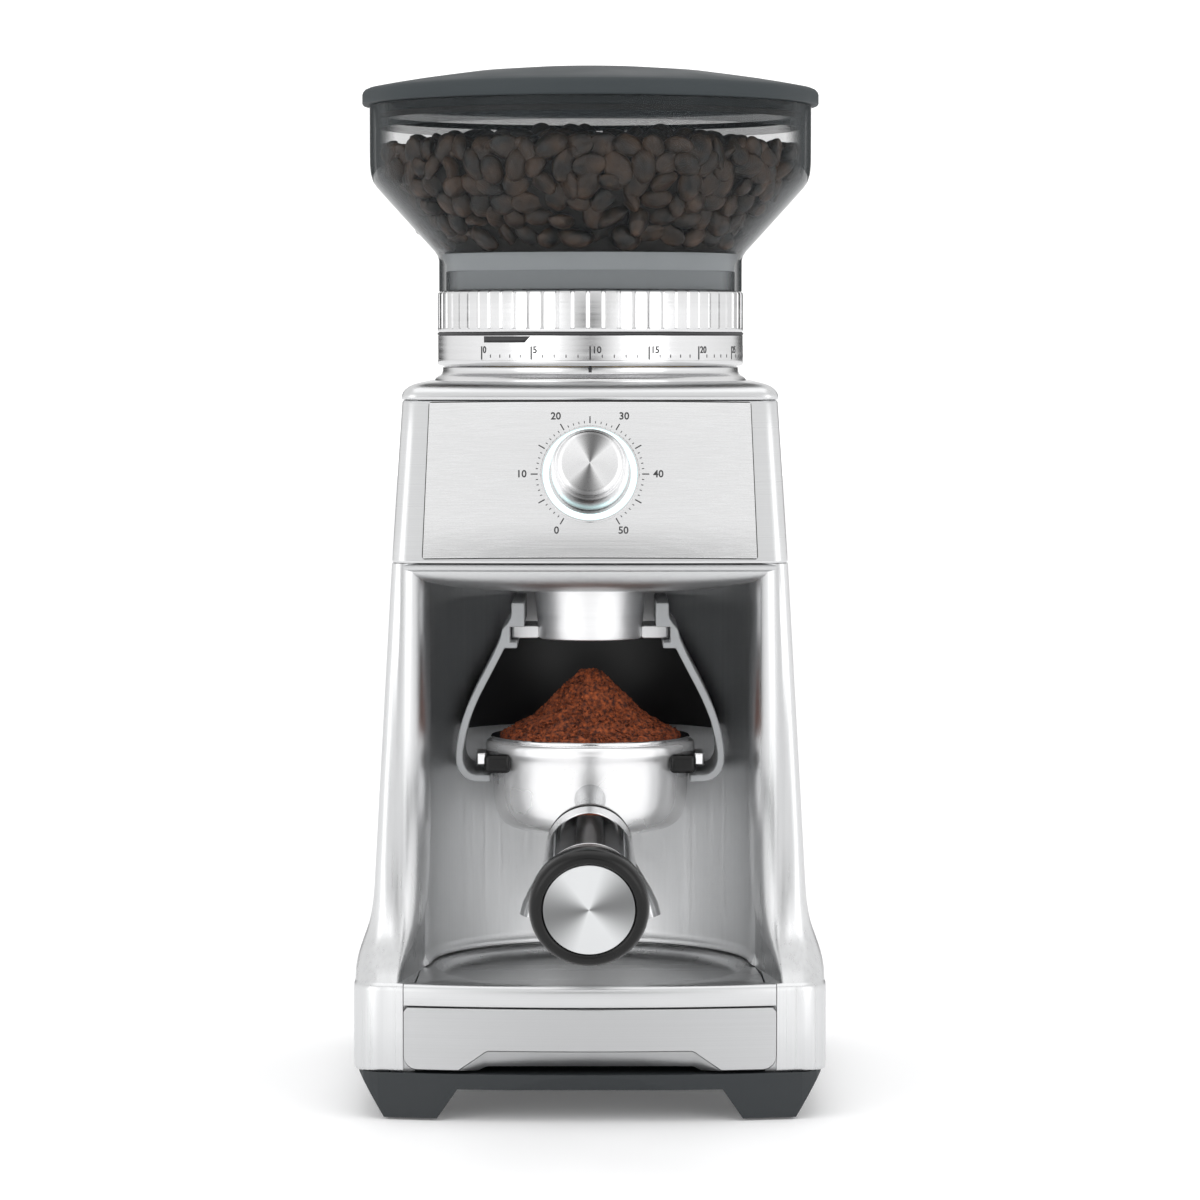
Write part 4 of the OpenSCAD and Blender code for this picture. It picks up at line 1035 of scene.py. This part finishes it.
def build_cradle():
    """Two mirrored sides, and the curved wall between them that follows the recess, black partly for the
    hood's dark plastic and partly as painted shade inside the cradle.
    """
    reach = RECESS_R - 2.7

    def back(x, inset=0.0):
        return RECESS_Y + math.sqrt((reach - inset) ** 2 - x * x)
    sides = []
    for sign in (1, -1):
        outline = [(sign * x, z) for x, z in cradle_outline()]
        sides.append(prism_y("cradle_side", outline, -2.0, back))
    edge = [(28, 158.0), (31.6, 152.6), (36, 144.4), (39.8, 136.4), (42.4, 128.7), (42.8, 126)]
    low, high = edge[-1][1], edge[0][1]
    rows, columns = 13, 33
    rings = []
    for i in range(rows):
        z = low + (high - low) * i / (rows - 1)
        half = next(x1 + (x0 - x1) * (z - z1) / (z0 - z1)
                    for (x0, z0), (x1, z1) in zip(edge, edge[1:]) if z1 <= z <= z0)
        across = [half * (2 * k / (columns - 1) - 1) for k in range(columns)]
        rings.append([(x, back(x, 1.9), z) for x in across] + [(x, back(x, 0.1), z) for x in across[::-1]])
    # The wall's black is partly the hood's dark plastic and partly painted shade inside the cradle.
    piece(loft("cradle_wall", rings, sharp=30), "cradle", "cradle_plastic", material=HOOD_DARK_AND_SHADE)
    cradle = join("cradle_frame", sides, sharp=30)
    soften(cradle, 0.45, 2, 40)
    piece(cradle, "cradle", "cradle_plastic", ["portafilter_cradle"])


def build_tray():
    """Tray with a shallow round dish, and the crowned lip along its front."""
    low, high = box_mm("grinds_tray")
    side = RECESS_R + 2.8
    front_limit = BASE_FRONT + 3.4
    angles = turns(160)

    def reach(a):
        """Distance from the dish's centre to the tray's edge in direction a."""
        dx, dy = math.cos(a), math.sin(a)
        if dy >= 0:
            return side
        t = 0.0
        for _ in range(30):
            t = (front_limit + bow(dx * t) - RECESS_Y) / dy
        return min(side / max(abs(dx), 1e-6), t)

    def ring(radii, z):
        return [(r * math.cos(a), RECESS_Y + r * math.sin(a), z) for a, r in zip(angles, radii)]
    dish = [(0.3, 4), (20, 4), (38, 4), (49.5, 4), (50.8, 3.8), (51.8, 3.0), (52.4, 1.6), (52.8, 0.7),
            (53.4, 0.15), (54.4, 0)]
    rings = [ring([min(r, reach(a) - 1.3) for a in angles], high.z - drop) for r, drop in dish]
    for inset, z in ((1.0, high.z), (0.3, high.z - 0.25), (0, high.z - 0.9), (0, low.z + 0.6),
                     (0.6, low.z + 0.1)):
        rings.append(ring([reach(a) - inset for a in angles], z))
    rings.append(ring([0.3] * len(angles), low.z + 0.1))
    tray = band("tray_dish", rings, sharp=32)
    piece(tray, "grinds_tray", "brushed_shell", ["grinds_tray"], material=TRAY_STEEL)
    lip, lip_low = 4.0, PLATE_TOP + 0.35
    section = [(lip, lip_low), (0.7, lip_low), (0.15, lip_low + 0.25), (0, lip_low + 0.9), (0, high.z - 2.6),
               (0.12, high.z - 1.6), (0.5, high.z - 0.8), (1.1, high.z - 0.25), (1.9, high.z), (lip, high.z)]
    columns = 61
    sections = []
    for k in range(columns):
        x = PLATE_HALF * (2 * k / (columns - 1) - 1)
        sections.append([(x, front_at(x) + y, z) for y, z in section])
    piece(loft("tray_lip", sections, sharp=40), "grinds_tray", "brushed_shell", material=HEAD_STEEL)


# ---------------------------------------------------------------- portafilter
def build_portafilter():
    cup = [(0.05, 93.0), (22, 93.0), (25.5, 93.2), (28.2, 94.1), (30.2, 95.4), (31.6, 97.2), (32.6, 99.5),
           (33.2, 102), (33.6, 105.5), (33.9, 110), (34.2, 114), (34.8, 117), (35.4, 119.2), (36.2, 120.2),
           (36.3, 120.8), (36.3, 122.6), (36.0, 123.5), (35.3, 124.0), (34.2, 124.2), (31.8, 124.2),
           (31.4, 123.8), (31.2, 122), (30.6, 108), (28.0, 98), (0.05, 96.5)]
    head = revolve("portafilter_cup", cup, OUTLET_AXIS, segments=160, closed=True, sharp=50)
    piece(head, "portafilter", "chrome", ["portafilter_head"], material=CUP_STEEL_PAINTED_LIGHT)
    blocks, pins = [], []
    for sign in (-1, 1):
        outline = [(sign * x, z) for x, z in ((27.2, 114.2), (36.3, 114.2), (36.3, 120.7), (27.2, 120.7))]
        blocks.append(prism_y("ear", outline, -7.9, 24.8))
        outline = [(sign * x, z) for x, z in ((35.8, 115.2), (39.5, 115.2), (39.5, 119.8), (35.8, 119.8))]
        pins.append(prism_y("pin", outline, 9.2, 24.5))
    ear = join("portafilter_ears", blocks)
    soften(ear, 1.7, 4, 40)
    piece(ear, "portafilter", "black_gloss")
    pin = join("portafilter_pins", pins)
    soften(pin, 0.7, 3, 40)
    piece(pin, "portafilter", "chrome")
    rim = [(34.3, 124.2), (34.6, 124.7), (34.6, 125.2), (34.3, 125.5), (31.8, 125.5), (31.2, 125.0),
           (30.6, 118), (30.2, 100), (29.8, 100), (30.0, 118), (30.4, 124.2)]
    basket = revolve("basket_rim", rim, OUTLET_AXIS, closed=True)
    piece(basket, "portafilter", "chrome", ["filter_basket"])


def build_ground_coffee():
    """Loose heap: a rough cone with crumbs on it."""
    table = [(0, 148.2), (2.5, 147.5), (5.2, 145.6), (8, 143.1), (11.3, 139.9), (15, 136.1), (19.1, 132.3),
             (22.5, 130.2), (26.1, 128.4), (29, 126.9), (31.4, 125.6)]
    rings, around = 64, 160
    verts = []
    for i in range(rings):
        r = 31.4 * (i + 0.15) / (rings - 1 + 0.15)
        z = smooth_row(table, min(r, 31.39))[1]
        for k in range(around):
            a = 2 * math.pi * k / around
            place = Vector((r * math.cos(a), r * math.sin(a), z))
            fade = min(r / 4, 1.0) * min((31.6 - r) / 2.0 + 0.25, 1.0)
            lump = noise.noise(place / 6.5) * 1.3 + noise.noise(place / 2.2 + Vector((5, 1, 2))) * 1.3
            crumb = noise.noise(place / 0.9 + Vector((9, 4, 7))) * 0.9
            verts.append((place.x, OUTLET_Y + place.y, z + (lump + crumb) * max(fade, 0.1)))
    verts += circle(OUTLET_AXIS, 30.6, 121, around)
    faces = ring_faces(rings + 1, around, caps=True)
    shape = [Vector(v) for v in ((1, 0, 0), (-1, 0, 0), (0, 1, 0), (0, -1, 0), (0, 0, 1), (0, 0, -1))]
    shape_faces = [(0, 2, 4), (2, 1, 4), (1, 3, 4), (3, 0, 4), (2, 0, 5), (1, 2, 5), (3, 1, 5), (0, 3, 5)]
    for _ in range(3400):
        r = 31.2 * math.sqrt(rng.random())
        a = rng.uniform(0, 2 * math.pi)
        z = smooth_row(table, r)[1] + noise.noise(Vector((r * math.cos(a), r * math.sin(a), 0)) / 6.5) * 0.6
        angle = rng.uniform(0, 6.28)
        turn = Matrix.Rotation(angle, 3, Vector((rng.gauss(0, 1), rng.gauss(0, 1), rng.gauss(0, 1))))
        size = rng.uniform(0.25, 0.85)
        stretch = Vector((rng.uniform(0.7, 1.3), rng.uniform(0.7, 1.3), rng.uniform(0.6, 1.0)))
        start = len(verts)
        for v in shape:
            p = turn @ Vector((v.x * stretch.x, v.y * stretch.y, v.z * stretch.z)) * size
            verts.append((r * math.cos(a) + p.x, OUTLET_Y + r * math.sin(a) + p.y, z + 0.15 + p.z))
        faces += [tuple(start + i for i in face) for face in shape_faces]
    heap = make("grounds", verts, faces, sharp=60, fix_normals=False)
    piece(heap, "portafilter", "ground_coffee", ["ground_coffee"])


def build_spout():
    hub = [(0.05, 84.5), (6.5, 84.6), (7.9, 85.6), (8.5, 87.4), (8.5, 92.0), (9.2, 93.2), (0.05, 93.2)]
    arms = [revolve("spout_hub", hub, OUTLET_AXIS, segments=64, closed=True)]
    for sign in (-1, 1):
        path = [(0, 88.2), (3, 87.4), (6.4, 85.0), (9.4, 81.6), (12.1, 77.6), (14.7, 73.2), (17.2, 69),
                (19.2, 65), (20.3, 61.4)]
        arms.append(tube_along("arm", [(sign * x, OUTLET_Y, z) for x, z in path],
                               [5.0, 5.0, 4.9, 4.8, 4.8, 4.8, 4.8, 4.7, 4.5]))
    spout = join("spouts", arms, sharp=45)
    piece(spout, "portafilter", "chrome", ["twin_spout"], material=SPOUT_STEEL)


def build_handle():
    along = Vector((0, math.cos(HANDLE_TILT), math.sin(HANDLE_TILT)))
    grip = [(14.6, 2.4), (14.75, 0.5), (15.2, 0.12), (16.2, 0.0), (17.3, 0.3), (18.2, 1.2), (18.75, 2.6),
            (18.9, 4.4), (18.85, 7.2), (18.4, 9.6), (17.4, 12.6), (16.3, 16.6), (15.75, 21.4), (15.5, 21.9),
            (12.9, 22.0), (12.9, 73.0), (14.0, 73.1), (14.25, 73.5), (14.1, 76), (13.6, 79.2), (13.0, 79.8),
            (12.2, 80.0), (0.1, 80.0), (0.1, 2.4)]
    handle = turned("handle_grip", grip, HANDLE_END, along, segments=128, sharp=50)
    piece(handle, "portafilter", "black_gloss", ["portafilter_handle"])
    tube = [(13.0, 22.1), (15.3, 22.1), (15.6, 22.4), (15.4, 30), (15.1, 45), (14.6, 60), (14.3, 72.5),
            (14.0, 72.9), (13.0, 72.9)]
    sleeve = turned("handle_metal", tube, HANDLE_END, along, segments=128)
    piece(sleeve, "portafilter", "chrome", ["handle_sleeve"])
    cap = [(0.05, 0.45), (13.6, 0.45), (14.3, 0.6), (14.62, 1.0), (14.62, 2.6), (0.05, 2.6)]
    disc = turned("handle_disc", cap, HANDLE_END, along, segments=128, sharp=30)
    piece(disc, "portafilter", "collar_metal", ["handle_end_cap"], material=DISC_PAINTED_SHEEN)
    neck = [(0.1, 79.8), (8.6, 79.8), (8.9, 80.2), (8.4, 81), (7.2, 82.4), (6.6, 85), (6.2, 90), (5.6, 98),
            (5.2, 106), (5.0, 118), (5.0, 128), (5.4, 136.5), (0.1, 136.5)]
    shaft = turned("handle_neck", neck, HANDLE_END, along, segments=96, sharp=50)
    piece(shaft, "portafilter", "chrome", ["portafilter_neck"], material=CHROME_PAINTED_SHADE)


# ---------------------------------------------------------------- CAD nodes that stay as they are
def finish_cad_nodes():
    slots = {part["node"]: part["material_slot"] for part in frame["record"]["subparts"]}
    for name, node in frame["nodes"].items():
        node.data.materials.clear()
        node.data.materials.append(MATERIALS[slots[name]])
        if name in ("ring_burr", "cone_burr"):
            continue
        width = 1.2 if name == "cradle_rail" else 0.35
        weld = node.modifiers.new("weld", "WELD")
        weld.merge_threshold = 0.005 * MM
        soften(node, width, 3, 35)


# ---------------------------------------------------------------- stage
def add_area(name, place, target, size, power):
    light = bpy.data.lights.new(name, "AREA")
    light.shape = "RECTANGLE"
    light.size, light.size_y = size
    light.energy = power
    obj = bpy.data.objects.new(name, light)
    bpy.context.collection.objects.link(obj)
    obj.location = place
    obj.rotation_euler = (Vector(target) - Vector(place)).to_track_quat("-Z", "Y").to_euler()
    obj.visible_camera = False


def build_world():
    """White studio: darker towards the rear sides and straight ahead, so that metal has soft edges."""
    world = bpy.data.worlds.new("studio")
    bpy.context.scene.world = world
    world.use_nodes = True
    tree = world.node_tree
    coordinates = tree.nodes.new("ShaderNodeTexCoord")
    split = add_node(tree, "ShaderNodeSeparateXYZ", {"Vector": coordinates.outputs["Generated"]})
    turn = maths(tree, "ARCTAN2", split.outputs["X"], split.outputs["Y"])
    around = maths(tree, "DIVIDE", maths(tree, "ABSOLUTE", turn), math.pi)
    ramp = add_node(tree, "ShaderNodeValToRGB", {"Fac": around})
    stops = [(0.0, 1.0), (0.05, 1.0), (0.07, 0.06), (0.16, 0.08), (0.25, 0.75), (0.5, 0.95), (0.72, 1.0),
             (0.9, 1.0), (0.955, 0.5), (1.0, 0.08)]
    elements = ramp.color_ramp.elements
    while len(elements) < len(stops):
        elements.new(0.5)
    for element, (position, value) in zip(elements, stops):
        element.position = position
        element.color = (value, value, value, 1)
    rise = remap(tree, split.outputs["Z"], 0.0, 1.0, 0.12, 0.4)
    colours = {"Factor": rise, 6: ramp.outputs["Color"], 7: (0.76, 0.76, 0.76, 1)}
    mix = add_node(tree, "ShaderNodeMix", colours, data_type="RGBA")
    feed(tree.nodes["Background"], {"Color": mix.outputs[2], "Strength": 1.3})


def build_stage():
    bpy.ops.mesh.primitive_plane_add(size=14, location=(0, 0, 0))
    floor = bpy.context.object
    floor.name = "floor"
    pale = moulded("floor_white", (0.95, 0.95, 0.955), 0.6, grain=20, depth=0.0, variation=0.995)
    shader = next(n for n in pale.node_tree.nodes if n.type == "BSDF_PRINCIPLED")
    feed(shader, {"Emission Color": (1, 1, 1, 1), "Emission Strength": 0.1})
    floor.data.materials.append(pale)
    build_world()
    bpy.context.scene.view_settings.view_transform = "Standard"
    body = (0, 0.02, 0.15)
    add_area("left_strip", (-1.1, -1.2, 0.45), body, (1.0, 1.3), 4.2)
    add_area("right_strip", (1.1, -1.2, 0.45), body, (1.0, 1.3), 4.2)
    add_area("overhead", (0, -0.1, 1.8), body, (1.6, 1.6), 5)


def build_camera():
    camera = bpy.data.cameras.new("camera")
    camera.sensor_width = 36
    camera.lens = 131.3
    obj = bpy.data.objects.new("camera", camera)
    bpy.context.collection.objects.link(obj)
    obj.location = (0.0034, -1.5, 0.262)
    obj.rotation_euler = (math.radians(90 - 3.385), 0, 0)
    bpy.context.scene.camera = obj


finish_cad_nodes()
build_body_shell()
build_vent_backing()
build_recess_liner()
build_recess_ceiling()
build_tray_shelf()
build_front_plate()
build_head()
build_panel()
build_panel_marks()
build_top_cover()
build_collar()
build_hopper()
build_beans()
build_lid()
build_knob()
build_chute()
build_cradle()
build_tray()
build_portafilter()
build_ground_coffee()
build_spout()
build_handle()
build_stage()
build_camera()
